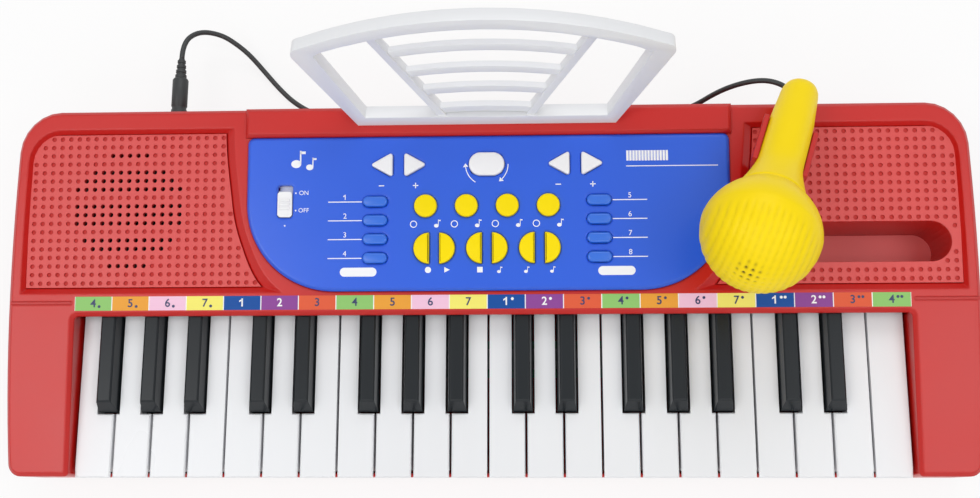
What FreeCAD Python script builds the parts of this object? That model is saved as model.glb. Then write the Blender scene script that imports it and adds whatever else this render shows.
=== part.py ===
"""Toy electronic keyboard with 37 keys, a clip-on microphone on a lead and a music stand.

Lengths are millimetres and angles degrees.  X runs along the keys, Y from player to back, Z up.
While the parts are made, y = 0 lies near the middle of the case.  Before they are written they move
along Y, so that the origin is under the middle of the whole object.
The sloping top of the case, called the deck here, has its own flat frame: see on_deck().
"""
import FreeCAD, Part
import math
import os

Vector = FreeCAD.Vector
UP = Vector(0, 0, 1)
RIGHT = Vector(1, 0, 0)
BACK = Vector(0, 1, 0)

# Case
case_width = 560.0
case_depth = 214.0
case_front = -108.0
cheek_width = 37.0
rear_corner = 24.0
front_corner = 7.0
case_wall = 2.4
edge_slope = 2.2
feet_height = 2.0
feet_radius = 8.0
feet_inset = 26.0
parting_height = 20.0
bottom_edge = 1.6
case_sides = 6
corner_sides = 2
single_side = 1
round_sides = 12
turned_sides = 24

# Deck
deck_height = 49.2
deck_slope = 5.0
groove_width = 2.0
groove_depth = 1.0
groove_place = 6.5

# Key bay
bay_depth = 92.2
bay_side_gap = 1.0
bay_corner = 2.5
lip_height = 4.0
front_wall = 2.0
front_wall_height = 24.0
front_ledge_depth = 12.0
front_ledge_height = 12.0

# Keys
key_gap = 1.0
key_top = 32.0
key_skirt = 12.0
key_wall = 1.8
key_front_gap = 0.9
key_corner = 1.2
key_edge = 0.7
key_travel = 3.0
white_names = "FGABCDEFGABCDEFGABCDEF"
black_shift = {"F": -3.8, "G": 0.0, "A": 3.8, "C": -1.8, "D": 1.8}
black_width = 11.3
black_top_width = 8.3
black_setback = 34.4
black_rise = 10.0
black_front_run = 5.5
black_edge = 0.8
black_back_gap = 4.0
tail_gap = 0.9

# Key hinge and contacts
hinge_behind_bay = 19.8
hinge_height = 24.0
rail_radius = 2.5
rail_clearance = 0.08
hook_wall = 1.7
hook_inset = 1.2
saddle_wall = 2.0
saddle_depth = 10.0
saddle_gap = 0.05
contact_behind_front = 67.0
plunger_size = 4.0
plunger_clearance = 0.2
strip_depth = 12.0
strip_thickness = 3.4
key_board_depth = 22.0
board_rest_count = 4
board_rest_inset = 24.0
key_board_height = 10.0
board_thickness = 1.6

# Recesses in the deck
recess_side_rim = 6.5
recess_rear_rim = 10.9
recess_front_rim = 12.8
recess_panel_gap = 9.0
recess_corner = 19.0
recess_depth = 4.0
recess_side_slope = 2.2
recess_rear_slope = 2.7
recess_inner_slope = 5.5
recess_front_slope = 4.0
recess_sides = 12
collar_wall = 2.0
plate_thickness = 2.4
plate_lap = 1.6

# Speaker and its holes
speaker_from_side = 66.0
speaker_from_rear = 60.9
hole_pitch = 5.0
hole_radius = 1.25
hole_sides = 4
hole_rows = {7: 5, 5: 9, 4: 11, 3: 13, 1: 13, 0: 13, -1: 13, -3: 11, -4: 9, -6: 5}
speaker_radius = 33.0
speaker_rim = 2.2
speaker_cone = 12.0
cone_radius = 27.0
magnet_radius = 18.0
magnet_height = 10.0

# Hand pocket in the right recess
pocket_from_recess_front = 16.3
pocket_width = 23.3
pocket_side_gap = 6.0
pocket_inner_gap = 14.5
pocket_floor = 10.6
pocket_wall = 2.0
pocket_sides = 6

# Control panel
panel_width = 282.0
panel_depth = 91.0
panel_corner = 52.0
panel_small_corner = 4.0
panel_rise = 3.0
panel_sunk = 1.4
panel_edge = 1.5
panel_fit = 0.15
panel_ledge = 4.0
post_width = 6.0
post_inset = 28.0
post_from_front = 21.0
post_from_rear = 9.3
main_board_width = 236.0
main_board_front_margin = 9.0
main_board_rear_margin = 4.5
main_board_drop = 12.0

# Controls
button_gap = 0.3
button_rise = 2.4
button_travel = 1.2
flange_lap = 1.3
flange_thickness = 1.4
stem_width = 3.0
arrow_from_rear = 17.2
arrow_places = (-61.6, -41.6, 41.6, 61.6)
arrow_length = 13.2
arrow_width = 14.8
arrow_corner = 1.2
oval_width = 20.8
oval_depth = 13.6
oval_corner = 6.0
pad_from_rear = 41.6
pad_pitch = 23.8
pad_count = 4
pad_radius = 6.65
moon_from_rear = 66.4
moon_radius = 9.0
moon_half_gap = 3.0
moon_pitch = 30.6
moon_pairs = 3
moon_sides = 10
pill_side = 65.1
pill_from_rear = 38.8
pill_pitch = 11.05
pill_rows = 4
pill_length = 14.4
pill_width = 6.2
switch_from_panel_side = 22.8
switch_from_rear = 38.2
switch_slot_length = 19.4
switch_slot_width = 9.1
switch_knob_length = 15.1
switch_knob_rise = 1.2
switch_ribs = 3
switch_rib_pitch = 2.4
switch_rib_width = 1.2
switch_rib_height = 0.8

# Rear bar and music stand
bar_depth = 17.5
bar_width = 285.0
bar_rise = 4.0
bar_slope = 2.0
stand_lean = 25.0
stand_from_rear = 11.3
stand_base = 156.0
stand_top = 209.4
stand_side_height = 65.6
stand_arch_height = 89.0
stand_bar = 7.5
stand_thickness = 8.6
stand_rib = 5.0
stand_rib_thickness = 4.0
stand_rib_heights = (12.3, 30.0, 47.0, 65.0)
stand_diagonal_top = 68.0
stand_diagonal_bottom = 23.8
stand_diagonal_inset = 1.0
stand_seat_gap = 0.3
tenon_width = 12.0
tenon_thickness = 4.0
tenon_length = 14.0
tenon_place = 60.0
tenon_gap = 0.3

# Microphone, placed over the deck by the end of its tail
tail_from_recess = 31.76
tail_behind_case = 7.52
tail_above_deck = 12.05
microphone_tilt = 28.6
microphone_turn = 21.3
tail_radius = 10.8
taper_length = 30.0
handle_radius = 12.5
handle_length = 67.5
neck_radius = 17.8
neck_length = 87.0
cup_radius = 27.5
cup_length = 98.5
head_radius = 31.3
head_length = 112.5
head_rim = 0.7
head_rim_width = 4.0
microphone_wall = 2.0
holder_start = 32.5
holder_end = 66.5
holder_wall = 3.0
holder_gap = 0.3
holder_ear = 2.0
holder_post_width = 18.0
holder_post_margin = 5.0
holder_rim_gap = 1.0
cord_exit_turn = 45.0
tail_steps = 3
head_steps = 5
hollow_steps = 2

# Lead, plug and socket
cord_radius = 1.6
cord_sides = 6
bend_share = 0.45
plug_from_side = 87.5
plug_height = 30.0
plug_radius = 4.85
plug_length = 30.0
plug_edge = 1.0
relief_length = 13.0
relief_radius = 3.6
relief_end_radius = 2.4
pin_radius = 1.75
pin_length = 15.0
pin_gap = 0.05
plug_gap = 0.3
socket_barrel = 8.0
socket_size = 14.0
socket_gap = 0.1

# Underside
cover_width = 150.0
cover_depth = 70.0
cover_corner = 4.0
cover_thickness = 1.4
cover_gap = 0.2
cover_from_rear = 66.0
ridge_count = 5
ridge_pitch = 3.0
ridge_width = 1.2
ridge_length = 24.0
ridge_from_edge = 10.0
screw_post_width = 8.0
screw_cheek_inset = 18.0
screw_cheek_rows = (13.0, 78.0)
screw_rear_inset = 10.0
screw_rear_side = 110.0

# Route of the lead, from the plug to the microphone's tail, chosen by hand
cord_route = [
    (-184.5, 170.0, 24.0),
    (-172.0, 170.5, 16.5),
    (-162.0, 165.0, 11.0),
    (-154.5, 159.0, 7.0),
    (-146.0, 149.5, 3.0),
    (-136.0, 138.0, 1.9),
    (-126.0, 128.5, 1.9),
    (-113.0, 121.0, 1.9),
    (-85.0, 115.0, 1.9),
    (20.0, 115.0, 1.9),
    (104.0, 116.0, 1.9),
    (126.0, 120.0, 9.0),
    (141.0, 125.0, 26.0),
    (155.0, 127.0, 36.0),
    (168.0, 126.5, 41.5),
    (178.5, 121.0, 45.0),
]
cord_exit_run = 11.0
cord_plug_run = 11.0

# Places worked out from the sizes above
half_width = case_width / 2
case_rear = case_front + case_depth
floor_top = feet_height + case_wall
bay_back = case_front + bay_depth
bay_half = half_width - cheek_width
keys_half = bay_half - bay_side_gap
white_count = len(white_names)
key_pitch = 2 * keys_half / white_count
key_front = case_front + front_wall + key_front_gap
key_low = key_top - key_skirt
hinge_y = bay_back + hinge_behind_bay
hook_size = rail_radius + rail_clearance + hook_wall
black_front = key_front + black_setback
black_back = bay_back + black_back_gap
slope = math.radians(deck_slope)
panel_half = panel_width / 2
switch_side = panel_half - switch_from_panel_side
panel_rear = case_rear - bar_depth
panel_front = panel_rear - panel_depth
recess_front = bay_back + recess_front_rim
recess_rear = case_rear - recess_rear_rim
recess_side = half_width - recess_side_rim
recess_inner = panel_half + recess_panel_gap
tail_side = recess_inner + tail_from_recess
plug_side = half_width - plug_from_side
speaker_x = -half_width + speaker_from_side
speaker_y = case_rear - speaker_from_rear
plate_top = -recess_depth
button_top = panel_rise + button_rise
board_top = -panel_sunk - main_board_drop
far = 1000.0
overshoot = 1.0
same_point = 0.001
same_level = 0.0001

deck_place = FreeCAD.Placement(Vector(0, 0, deck_height), FreeCAD.Rotation(RIGHT, deck_slope))


def on_deck(shape):
    """Move a shape from the deck's flat frame, where z = 0 is the deck, to the case."""
    moved = shape.copy()
    moved.Placement = deck_place.multiply(moved.Placement)
    return moved


def rounded_face(corners, sides=0):
    """Flat face with straight sides; each corner is x, y and the radius of its rounding.

    A rounding is an arc, or a row of short sides where their number for a quarter turn is given.
    """
    count = len(corners)
    edges = []
    start = None
    last = None
    for index, (x, y, radius) in enumerate(corners):
        corner = Vector(x, y, 0)
        before = Vector(corners[index - 1][0], corners[index - 1][1], 0) - corner
        after = Vector(corners[(index + 1) % count][0], corners[(index + 1) % count][1], 0) - corner
        before.normalize()
        after.normalize()
        half_angle = before.getAngle(after) / 2
        setback = radius / math.tan(half_angle)
        inward = before + after
        inward.normalize()
        middle = corner + inward * (radius / math.sin(half_angle) - radius)
        ends = [corner + before * setback, corner + after * setback]
        if last and last.distanceToPoint(ends[0]) > same_point:
            edges.append(Part.LineSegment(last, ends[0]).toShape())
        if radius > 0:
            arc = Part.Arc(ends[0], middle, ends[1])
            if sides:
                steps = max(1, round(sides * (math.pi - 2 * half_angle) / (math.pi / 2)))
                marks = arc.discretize(Number=steps + 1)
                edges += [Part.LineSegment(a, b).toShape() for a, b in zip(marks, marks[1:])]
            else:
                edges.append(arc.toShape())
        start = start or ends[0]
        last = ends[1]
    if last.distanceToPoint(start) > same_point:
        edges.append(Part.LineSegment(last, start).toShape())
    return Part.Face(Part.Wire(edges))


def rectangle(x_low, y_low, x_high, y_high, radius=0.0, sides=0):
    """Flat rectangle, with equal corner roundings."""
    corners = [(x_low, y_low), (x_high, y_low), (x_high, y_high), (x_low, y_high)]
    return rounded_face([(x, y, radius) for x, y in corners], sides)


def small_round(radius, x, y):
    """Small round face with straight sides."""
    circle = Part.Circle(Vector(x, y, 0), UP, radius)
    return Part.Face(Part.makePolygon(circle.discretize(Number=round_sides + 1)))


def square_post(width, x, y, low, high):
    """Upright square post."""
    return box((x - width / 2, y - width / 2, low), (x + width / 2, y + width / 2, high))


def prism(face, low, high):
    """Upright solid over a flat face, from one height to another."""
    raised = face.copy()
    raised.translate(Vector(0, 0, low))
    return raised.extrude(Vector(0, 0, high - low))


def box(low, high):
    """Block between two opposite corners."""
    size = [h - l for l, h in zip(low, high)]
    return Part.makeBox(size[0], size[1], size[2], Vector(*low))


def turned(profile, start=Vector(0, 0, 0)):
    """Turned solid about Z, with straight sides, from a closed profile of (radius, height) points."""
    rings = []
    for radius, height in profile:
        ring = []
        for side in range(turned_sides):
            turn = 2 * math.pi * side / turned_sides
            ring.append(start + Vector(radius * math.cos(turn), radius * math.sin(turn), height))
        rings.append(ring)
    faces = []
    for index, (radius, height) in enumerate(profile):
        following = (index + 1) % len(profile)
        next_radius = profile[following][0]
        if radius + next_radius == 0:
            continue
        for side in range(turned_sides):
            beside = (side + 1) % turned_sides
            corners = [rings[index][side]]
            if radius > 0:
                corners.append(rings[index][beside])
            if next_radius > 0:
                corners.append(rings[following][beside])
            corners.append(rings[following][side])
            faces.append(Part.Face(Part.makePolygon(corners + corners[:1])))
    return Part.Solid(Part.Shell(faces)).removeSplitter()


def fused(first, others):
    """One solid from touching or crossing solids."""
    return first.multiFuse(others).removeSplitter()


def level_edges(shape, height):
    """Edges of a shape that lie at one height."""
    found = []
    for edge in shape.Edges:
        if abs(edge.BoundBox.ZMin - height) < same_level and abs(edge.BoundBox.ZMax - height) < same_level:
            found.append(edge)
    return found


def mirrored(shape):
    """The same shape on the other side of the keyboard's middle."""
    return shape.mirror(Vector(0, 0, 0), RIGHT)


# Outlines that several parts share

def case_outline():
    """Plan of the case without the key bay."""
    return rounded_face([
        (-half_width, case_front, front_corner), (half_width, case_front, front_corner),
        (half_width, case_rear, rear_corner), (-half_width, case_rear, rear_corner)], case_sides)


def top_outline():
    """Plan of the upper case, which goes round the key bay."""
    return rounded_face([
        (-half_width, case_front, front_corner), (-bay_half, case_front, bay_corner),
        (-bay_half, bay_back, bay_corner), (bay_half, bay_back, bay_corner),
        (bay_half, case_front, bay_corner), (half_width, case_front, front_corner),
        (half_width, case_rear, rear_corner), (-half_width, case_rear, rear_corner)], case_sides)


def panel_outline():
    """The control panel, with two large corners at the player's side."""
    return rounded_face([
        (-panel_half, panel_front, panel_corner), (panel_half, panel_front, panel_corner),
        (panel_half, panel_rear, panel_small_corner), (-panel_half, panel_rear, panel_small_corner)])


def recess_outline(depth_share, outward):
    """Left recess at its rim (0) or its floor (1), widened; its inner side keeps away from the panel."""
    side = -recess_side + depth_share * recess_side_slope - outward
    rear = recess_rear - depth_share * recess_rear_slope + outward
    front = recess_front + depth_share * recess_front_slope - outward
    radius = panel_corner + recess_panel_gap + depth_share * recess_inner_slope - outward
    corner = recess_corner - depth_share * recess_rear_slope + outward
    centre = Vector(-panel_half + panel_corner, panel_front + panel_corner, 0)
    low_angle = math.asin((centre.y - front) / radius)
    marks = [Vector(side, front, 0)]
    for step in range(recess_sides + 1):
        turn = low_angle * (1 - step / recess_sides)
        marks.append(centre - Vector(math.cos(turn), math.sin(turn), 0) * radius)
    marks.append(Vector(centre.x - radius, rear, 0))
    for step in range(case_sides + 1):
        turn = math.pi / 2 * (1 + step / case_sides)
        around = Vector(math.cos(turn), math.sin(turn), 0) * corner
        marks.append(Vector(side + corner, rear - corner, 0) + around)
    return Part.Face(Part.makePolygon(marks + marks[:1]))


def recess_tool(outward):
    """Solid that fills the left recess, widened by outward, with its sloping walls."""
    floor = recess_outline(1, outward).OuterWire
    floor.translate(Vector(0, 0, plate_top))
    rim = recess_outline(0, outward)
    return Part.makeLoft([floor, rim.OuterWire], True, True).fuse(prism(rim, 0, far))


def plate_outline():
    """Floor plate of the left recess, which laps under the collar."""
    return recess_outline(1, plate_lap)


def pocket_outline():
    """Plan of the upright hand pocket in the right recess."""
    left = recess_inner + pocket_inner_gap
    right = recess_side - pocket_side_gap
    front = (recess_front + pocket_from_recess_front) * math.cos(slope) + recess_depth * math.sin(slope)
    return rectangle(left, front, right, front + pocket_width, pocket_width / 2, pocket_sides)


# Keys

def black_places():
    """Middle of each black key, with the number of the white key on its left."""
    places = []
    for index, name in enumerate(white_names[:-1]):
        if name in black_shift:
            boundary = -keys_half + (index + 1) * key_pitch
            places.append((index, boundary + black_shift[name]))
    return places


def tail_limits(index):
    """Left and right side of a white key where it runs between black keys."""
    left = -keys_half + index * key_pitch + key_gap / 2
    right = left + key_pitch - key_gap
    half_slot = black_width / 2 + tail_gap
    for white, middle in black_places():
        if white == index:
            right = middle - half_slot
        if white == index - 1:
            left = middle + half_slot
    return left, right


def hinge_arm(left, right, start):
    """Rear arm of a key, with the open slot that sits on the rail and turns on it."""
    low = hinge_height - hook_size
    half_slot = rail_radius + rail_clearance
    arm = box((left + hook_inset, start, low),
              (right - hook_inset, hinge_y + hook_size, hinge_height + hook_size))
    slot = box((left, hinge_y - half_slot, low - overshoot),
               (right, hinge_y + half_slot, hinge_height + half_slot))
    return arm.cut(slot)


def plunger(middle, ceiling):
    """Peg from a key's hollow that meets its contact at the end of the travel."""
    y = key_front + contact_behind_front
    drop = (hinge_y - y) * math.tan(math.radians(key_travel))
    low = key_board_height + board_thickness + strip_thickness + drop + plunger_clearance
    half = plunger_size / 2
    return box((middle - half, y - half, low), (middle + half, y + half, ceiling + key_wall / 2))


def white_key(index):
    """White key: a moulded shell, cut back beside the black keys."""
    left = -keys_half + index * key_pitch + key_gap / 2
    right = left + key_pitch - key_gap
    tail_left, tail_right = tail_limits(index)
    shoulder = black_front - key_gap
    rear = black_back
    corners = [(left, key_front, key_corner), (right, key_front, key_corner)]
    if tail_right < right:
        corners += [(right, shoulder, 0), (tail_right, shoulder, 0)]
    corners += [(tail_right, rear, 0), (tail_left, rear, 0)]
    if tail_left > left:
        corners += [(tail_left, shoulder, 0), (left, shoulder, 0)]
    body = prism(rounded_face(corners, single_side), key_low, key_top)
    front_edges = [edge for edge in level_edges(body, key_top)
                   if edge.BoundBox.YMax < shoulder + key_gap / 2]
    body = body.makeChamfer(key_edge, front_edges)
    ceiling = key_top - key_wall
    hollow = box((tail_left + key_wall, key_front + key_wall, key_low - overshoot),
                 (tail_right - key_wall, rear - key_wall, ceiling))
    arm = hinge_arm(tail_left, tail_right, rear - key_wall)
    return fused(body.cut(hollow), [arm, plunger((tail_left + tail_right) / 2, ceiling)])


def black_key(middle):
    """Black key: a raised bar with sloping sides and front, on a shell like a white key's."""
    half = black_width / 2
    half_top = black_top_width / 2
    bar = Part.makeWedge(middle - half, key_top, -black_back, -black_back, middle - half_top,
                         middle + half, key_top + black_rise, -black_front, -black_front - black_front_run,
                         middle + half_top)
    bar.rotate(Vector(0, 0, 0), RIGHT, 90)
    bar = bar.makeChamfer(black_edge, level_edges(bar, key_top + black_rise))
    skirt = box((middle - half, black_front, key_low), (middle + half, black_back, key_top))
    ceiling = key_top + key_wall
    hollow = box((middle - half + key_wall, black_front + key_wall, key_low - overshoot),
                 (middle + half - key_wall, black_back - key_wall, ceiling))
    arm = hinge_arm(middle - half, middle + half, black_back - key_wall)
    return fused(bar.fuse(skirt).cut(hollow), [arm, plunger(middle, ceiling)])


# Case shells

def screw_places():
    """Screw posts: two in each cheek and two under the rear bar."""
    places = []
    for side in (-1, 1):
        for row in screw_cheek_rows:
            places.append((side * (half_width - screw_cheek_inset), case_front + row))
        places.append((side * screw_rear_side, case_rear - screw_rear_inset))
    return places


def rear_bar():
    """Raised bar behind the panel, in the deck's frame."""
    outline = rectangle(-bar_width / 2, panel_rear + panel_fit, bar_width / 2, case_rear)
    block = prism(outline, -edge_slope * 2, bar_rise)
    return block.makeChamfer(bar_slope, level_edges(block, bar_rise))


def upper_case():
    """Red top shell: cheeks, deck, recess collars, panel seat and rear bar."""
    outline = top_outline()
    above_deck = on_deck(box((-far, -far, 0), (far, far, far)))
    solid_block = prism(outline, parting_height, far).cut(above_deck)
    level = [face for face in solid_block.Faces if face.normalAt(0, 0).z > math.cos(2 * slope)]
    deck_face = max(level, key=lambda face: face.Area)
    solid_block = solid_block.makeChamfer(edge_slope, deck_face.OuterWire.Edges)
    above_ceiling = on_deck(box((-far, -far, -case_wall), (far, far, far)))
    cavity = prism(outline.makeOffset2D(-case_wall, 2), parting_height - overshoot, far).cut(above_ceiling)
    lip_low = deck_height + bay_back * math.tan(slope) - lip_height
    passage = box((-bay_half, case_front - overshoot, parting_height - overshoot),
                  (bay_half, hinge_y, lip_low))
    shell = solid_block.cut(cavity).cut(passage)
    below_edge = box((-far, -far, -far), (far, far, -edge_slope))
    left_collar = recess_tool(collar_wall).common(below_edge)
    collars = [on_deck(left_collar), on_deck(mirrored(left_collar))]
    bosses = [square_post(screw_post_width, x, y, parting_height, far).common(solid_block)
              for x, y in screw_places()]
    shell = fused(shell, collars + bosses + [on_deck(rear_bar())])
    left_recess = recess_tool(0)
    window = prism(panel_outline().makeOffset2D(-panel_ledge), -far, far)
    seat = prism(panel_outline().makeOffset2D(panel_fit), -panel_sunk, far)
    groove = bay_back + groove_place
    left_groove = box((-half_width - overshoot, groove, -groove_depth),
                      (-bay_half - bay_side_gap, groove + groove_width, far))
    cuts = [left_recess, mirrored(left_recess), window, seat, left_groove, mirrored(left_groove)]
    cuts += [stand_place(tenon(side, tenon_gap, far)) for side in (-1, 1)]
    half_hole = socket_barrel / 2 + socket_gap
    socket_hole = box((-plug_side - half_hole, case_rear - case_wall - overshoot, plug_height - half_hole),
                      (-plug_side + half_hole, case_rear + overshoot, plug_height + half_hole))
    return shell.cut([on_deck(cut) for cut in cuts] + [socket_hole])


def rail_saddles():
    """Ribs that carry the key rail: at both ends and between white keys with no black key."""
    places = [-keys_half - bay_side_gap - saddle_wall, keys_half + bay_side_gap]
    for index, name in enumerate(white_names[:-1]):
        if name not in black_shift:
            places.append(-keys_half + (index + 1) * key_pitch - saddle_wall / 2)
    half = saddle_depth / 2
    return [box((x, hinge_y - half, feet_height), (x + saddle_wall, hinge_y + half, hinge_height))
            for x in places]


def key_rail():
    """Round rail on which all keys turn."""
    reach = keys_half + bay_side_gap + saddle_wall
    return Part.makeCylinder(rail_radius, 2 * reach, Vector(-reach, hinge_y, hinge_height), RIGHT)


def lower_case():
    """Red bottom shell with the front wall, the rail saddles, the board rests and the screw posts."""
    outline = case_outline()
    block = prism(outline, feet_height, parting_height)
    block = block.makeChamfer(bottom_edge, level_edges(block, feet_height))
    shell = block.cut(prism(outline.makeOffset2D(-case_wall, 2), floor_top, parting_height + overshoot))
    floor_middle = feet_height + case_wall / 2
    front_half = bay_half - key_gap
    front = box((-front_half, case_front, floor_top),
                (front_half, case_front + front_wall, front_wall_height))
    ledge = box((-front_half, case_front, floor_middle),
                (front_half, case_front + front_ledge_depth, front_ledge_height))
    board_y = key_front + contact_behind_front
    rest_half = keys_half - board_rest_inset
    rests = []
    for index in range(board_rest_count):
        x = rest_half * (2 * index / (board_rest_count - 1) - 1)
        rests.append(box((x - saddle_wall / 2, board_y - key_board_depth / 2, floor_middle),
                         (x + saddle_wall / 2, board_y + key_board_depth / 2, key_board_height)))
    posts = [square_post(screw_post_width, x, y, feet_height + bottom_edge, parting_height)
             for x, y in screw_places()]
    shell = fused(shell, [front, ledge] + rests + rail_saddles() + posts)
    half_seat = rail_radius + saddle_gap
    rail_seat = box((-bay_half - saddle_wall, hinge_y - half_seat, hinge_height - rail_radius),
                    (bay_half + saddle_wall, hinge_y + half_seat, hinge_height + overshoot))
    cover_seat = prism(cover_outline(cover_gap), feet_height - overshoot, feet_height + cover_thickness)
    return shell.cut([rail_seat, cover_seat])


def cover_outline(gap):
    """Battery cover, or its seat when widened by a gap."""
    half = cover_width / 2 + gap
    rear = case_rear - cover_from_rear + cover_depth / 2 + gap
    return rectangle(-half, rear - cover_depth - 2 * gap, half, rear, cover_corner + gap, corner_sides)


def battery_cover():
    """Flush cover on the underside, with a row of finger grooves."""
    plate = prism(cover_outline(0), feet_height, feet_height + cover_thickness)
    rear = case_rear - cover_from_rear + cover_depth / 2 - ridge_from_edge
    half = ridge_length / 2
    grooves = []
    for row in range(ridge_count):
        y = rear - row * ridge_pitch
        grooves.append(box((-half, y, feet_height - overshoot),
                           (half, y + ridge_width, feet_height + cover_thickness / 2)))
    return plate.cut(grooves)


def rubber_feet():
    """Four feet at the corners."""
    feet = []
    for side in (-1, 1):
        for y in (case_front + feet_inset, case_rear - feet_inset):
            foot = small_round(feet_radius, side * (half_width - feet_inset), y)
            feet.append(prism(foot, 0, feet_height))
    return Part.Compound(feet)


# Recess floors and speaker

def speaker_grille():
    """Floor of the left recess with the speaker's sound holes."""
    low = plate_top - plate_thickness
    plate = prism(plate_outline(), low, plate_top)
    holes = []
    for row, count in hole_rows.items():
        for column in range(count):
            x = speaker_x + (column - (count - 1) / 2) * hole_pitch
            circle = Part.Circle(Vector(x, speaker_y + row * hole_pitch, 0), UP, hole_radius)
            ring = Part.makePolygon(circle.discretize(Number=hole_sides + 1))
            holes.append(prism(Part.Face(ring), low - overshoot, plate_top + overshoot))
    return on_deck(plate.cut(holes))


def speaker():
    """Loudspeaker behind the grille: rim, basket with its cone, and magnet."""
    rim_top = plate_top - plate_thickness
    rim_low = rim_top - speaker_rim
    basket_low = rim_low - speaker_cone
    profile = [
        (speaker_radius, rim_top), (speaker_radius, rim_low), (magnet_radius, basket_low),
        (magnet_radius, basket_low - magnet_height), (0, basket_low - magnet_height),
        (0, basket_low + speaker_rim), (cone_radius, rim_top)]
    return on_deck(turned(profile, Vector(speaker_x, speaker_y, 0)))


def microphone_place(shape):
    """Move a shape made along Z from the microphone's tail to its place over the deck."""
    tilt = math.radians(microphone_tilt)
    turn = math.radians(microphone_turn)
    along = Vector(-math.cos(tilt) * math.sin(turn), -math.cos(tilt) * math.cos(turn), math.sin(tilt))
    across = Vector(math.cos(turn), -math.sin(turn), 0)
    lift = along.cross(across)
    tail = Vector(tail_side, case_rear + tail_behind_case, tail_above_deck)
    moved = shape.copy()
    moved.Placement = FreeCAD.Placement(FreeCAD.Matrix(
        across.x, lift.x, along.x, tail.x, across.y, lift.y, along.y, tail.y,
        across.z, lift.z, along.z, tail.z, 0, 0, 0, 1)).multiply(moved.Placement)
    return moved


def microphone_holder():
    """Open trough on a post, in the deck's frame, which holds the microphone's handle."""
    inner = handle_radius + holder_gap
    outer = inner + holder_wall
    before = holder_start - overshoot
    beyond = holder_end + overshoot
    trough = Part.makeCylinder(outer, holder_end - holder_start, Vector(0, 0, holder_start))
    ears = box((-outer, 0, holder_start), (outer, holder_ear, holder_end))
    half_post = holder_post_width / 2
    post = box((-half_post, -far, holder_start + holder_post_margin),
               (half_post, -inner, holder_end - holder_post_margin))
    bore = Part.makeCylinder(inner, beyond - before, Vector(0, 0, before))
    mouth = box((-inner, 0, before), (inner, outer + overshoot, beyond))
    upper_half = box((-outer - overshoot, holder_ear, before), (outer + overshoot, outer + overshoot, beyond))
    holder = microphone_place(fused(trough, [ears, post]).cut([bore, mouth, upper_half]))
    floor = mirrored(recess_outline(1, 0))
    rim_top = panel_rise + holder_rim_gap
    room = prism(floor, plate_top, rim_top).fuse(box((-far, -far, rim_top), (far, far, far)))
    return holder.common(room)


def tray_panel():
    """Floor of the right recess with the hand pocket and the microphone's holder."""
    plate = prism(mirrored(plate_outline()), plate_top - plate_thickness, plate_top)
    tray = on_deck(fused(plate, [microphone_holder()]))
    above_plate = on_deck(box((-far, -far, plate_top), (far, far, far)))
    outline = pocket_outline()
    shell = prism(outline.makeOffset2D(pocket_wall, 2), pocket_floor - pocket_wall, far).cut(above_plate)
    return fused(tray, [shell]).cut(prism(outline, pocket_floor, far))


# Control panel and its buttons

def arrow_faces():
    """Four triangular buttons, in pairs that point away from each other."""
    y = panel_rear - arrow_from_rear
    half = arrow_width / 2
    faces = []
    for index, x in enumerate(arrow_places):
        point = -1 if index % 2 == 0 else 1
        tip = x + point * arrow_length / 2
        back = x - point * arrow_length / 2
        corners = [(tip, y, arrow_corner), (back, y + half, arrow_corner), (back, y - half, arrow_corner)]
        if point > 0:
            corners.reverse()
        faces.append(rounded_face(corners, single_side))
    return faces


def oval_face():
    """Oval button in the middle of the rear row."""
    y = panel_rear - arrow_from_rear
    return rectangle(-oval_width / 2, y - oval_depth / 2, oval_width / 2, y + oval_depth / 2, oval_corner,
                     corner_sides)


def pad_faces():
    """Round yellow pads."""
    y = panel_rear - pad_from_rear
    places = [(index - (pad_count - 1) / 2) * pad_pitch for index in range(pad_count)]
    return [small_round(pad_radius, x, y) for x in places]


def moon_faces():
    """Half-moon buttons, in pairs with their flat sides together."""
    y = panel_rear - moon_from_rear
    faces = []
    for pair in range(moon_pairs):
        x = (pair - (moon_pairs - 1) / 2) * moon_pitch
        for side in (-1, 1):
            flat = x + side * moon_half_gap
            low = Vector(flat, y - moon_radius, 0)
            high = Vector(flat, y + moon_radius, 0)
            crown = Vector(flat + side * moon_radius, y, 0)
            marks = Part.Arc(low, crown, high).discretize(Number=moon_sides + 1)
            faces.append(Part.Face(Part.makePolygon(marks + marks[:1])))
    return faces


def pill_faces():
    """Two columns of pill-shaped buttons."""
    half = pill_length / 2
    half_pill = pill_width / 2
    faces = []
    for side in (-1, 1):
        x = side * pill_side
        for row in range(pill_rows):
            y = panel_rear - pill_from_rear - row * pill_pitch
            faces.append(rectangle(x - half, y - half_pill, x + half, y + half_pill, half_pill, corner_sides))
    return faces


def switch_slot():
    """Slot of the power switch."""
    y = panel_rear - switch_from_rear
    half = switch_slot_width / 2
    return rectangle(-switch_side - half, y - switch_slot_length / 2,
                     -switch_side + half, y + switch_slot_length / 2, arrow_corner, single_side)


def switch_face():
    """Power switch's knob, at the player's end of its slot."""
    front = panel_rear - switch_from_rear - switch_slot_length / 2 + button_gap
    half = switch_slot_width / 2 - button_gap
    return rectangle(-switch_side - half, front, -switch_side + half, front + switch_knob_length,
                     arrow_corner, single_side)


def button(face):
    """Button over a flat face: cap, flange under the panel and stem over the board."""
    flange_top = -panel_sunk - button_gap
    cap = prism(face, flange_top, button_top)
    bounds = face.BoundBox
    flange = box((bounds.XMin - flange_lap, bounds.YMin - flange_lap, flange_top - flange_thickness),
                 (bounds.XMax + flange_lap, bounds.YMax + flange_lap, flange_top))
    middle = face.CenterOfMass
    stem_low = board_top + button_travel + button_gap
    stem = square_post(stem_width, middle.x, middle.y, stem_low, flange_top)
    return fused(cap, [flange, stem])


def button_group(faces):
    """Buttons of one kind, as separate caps."""
    return on_deck(Part.Compound([button(face) for face in faces]))


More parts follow.
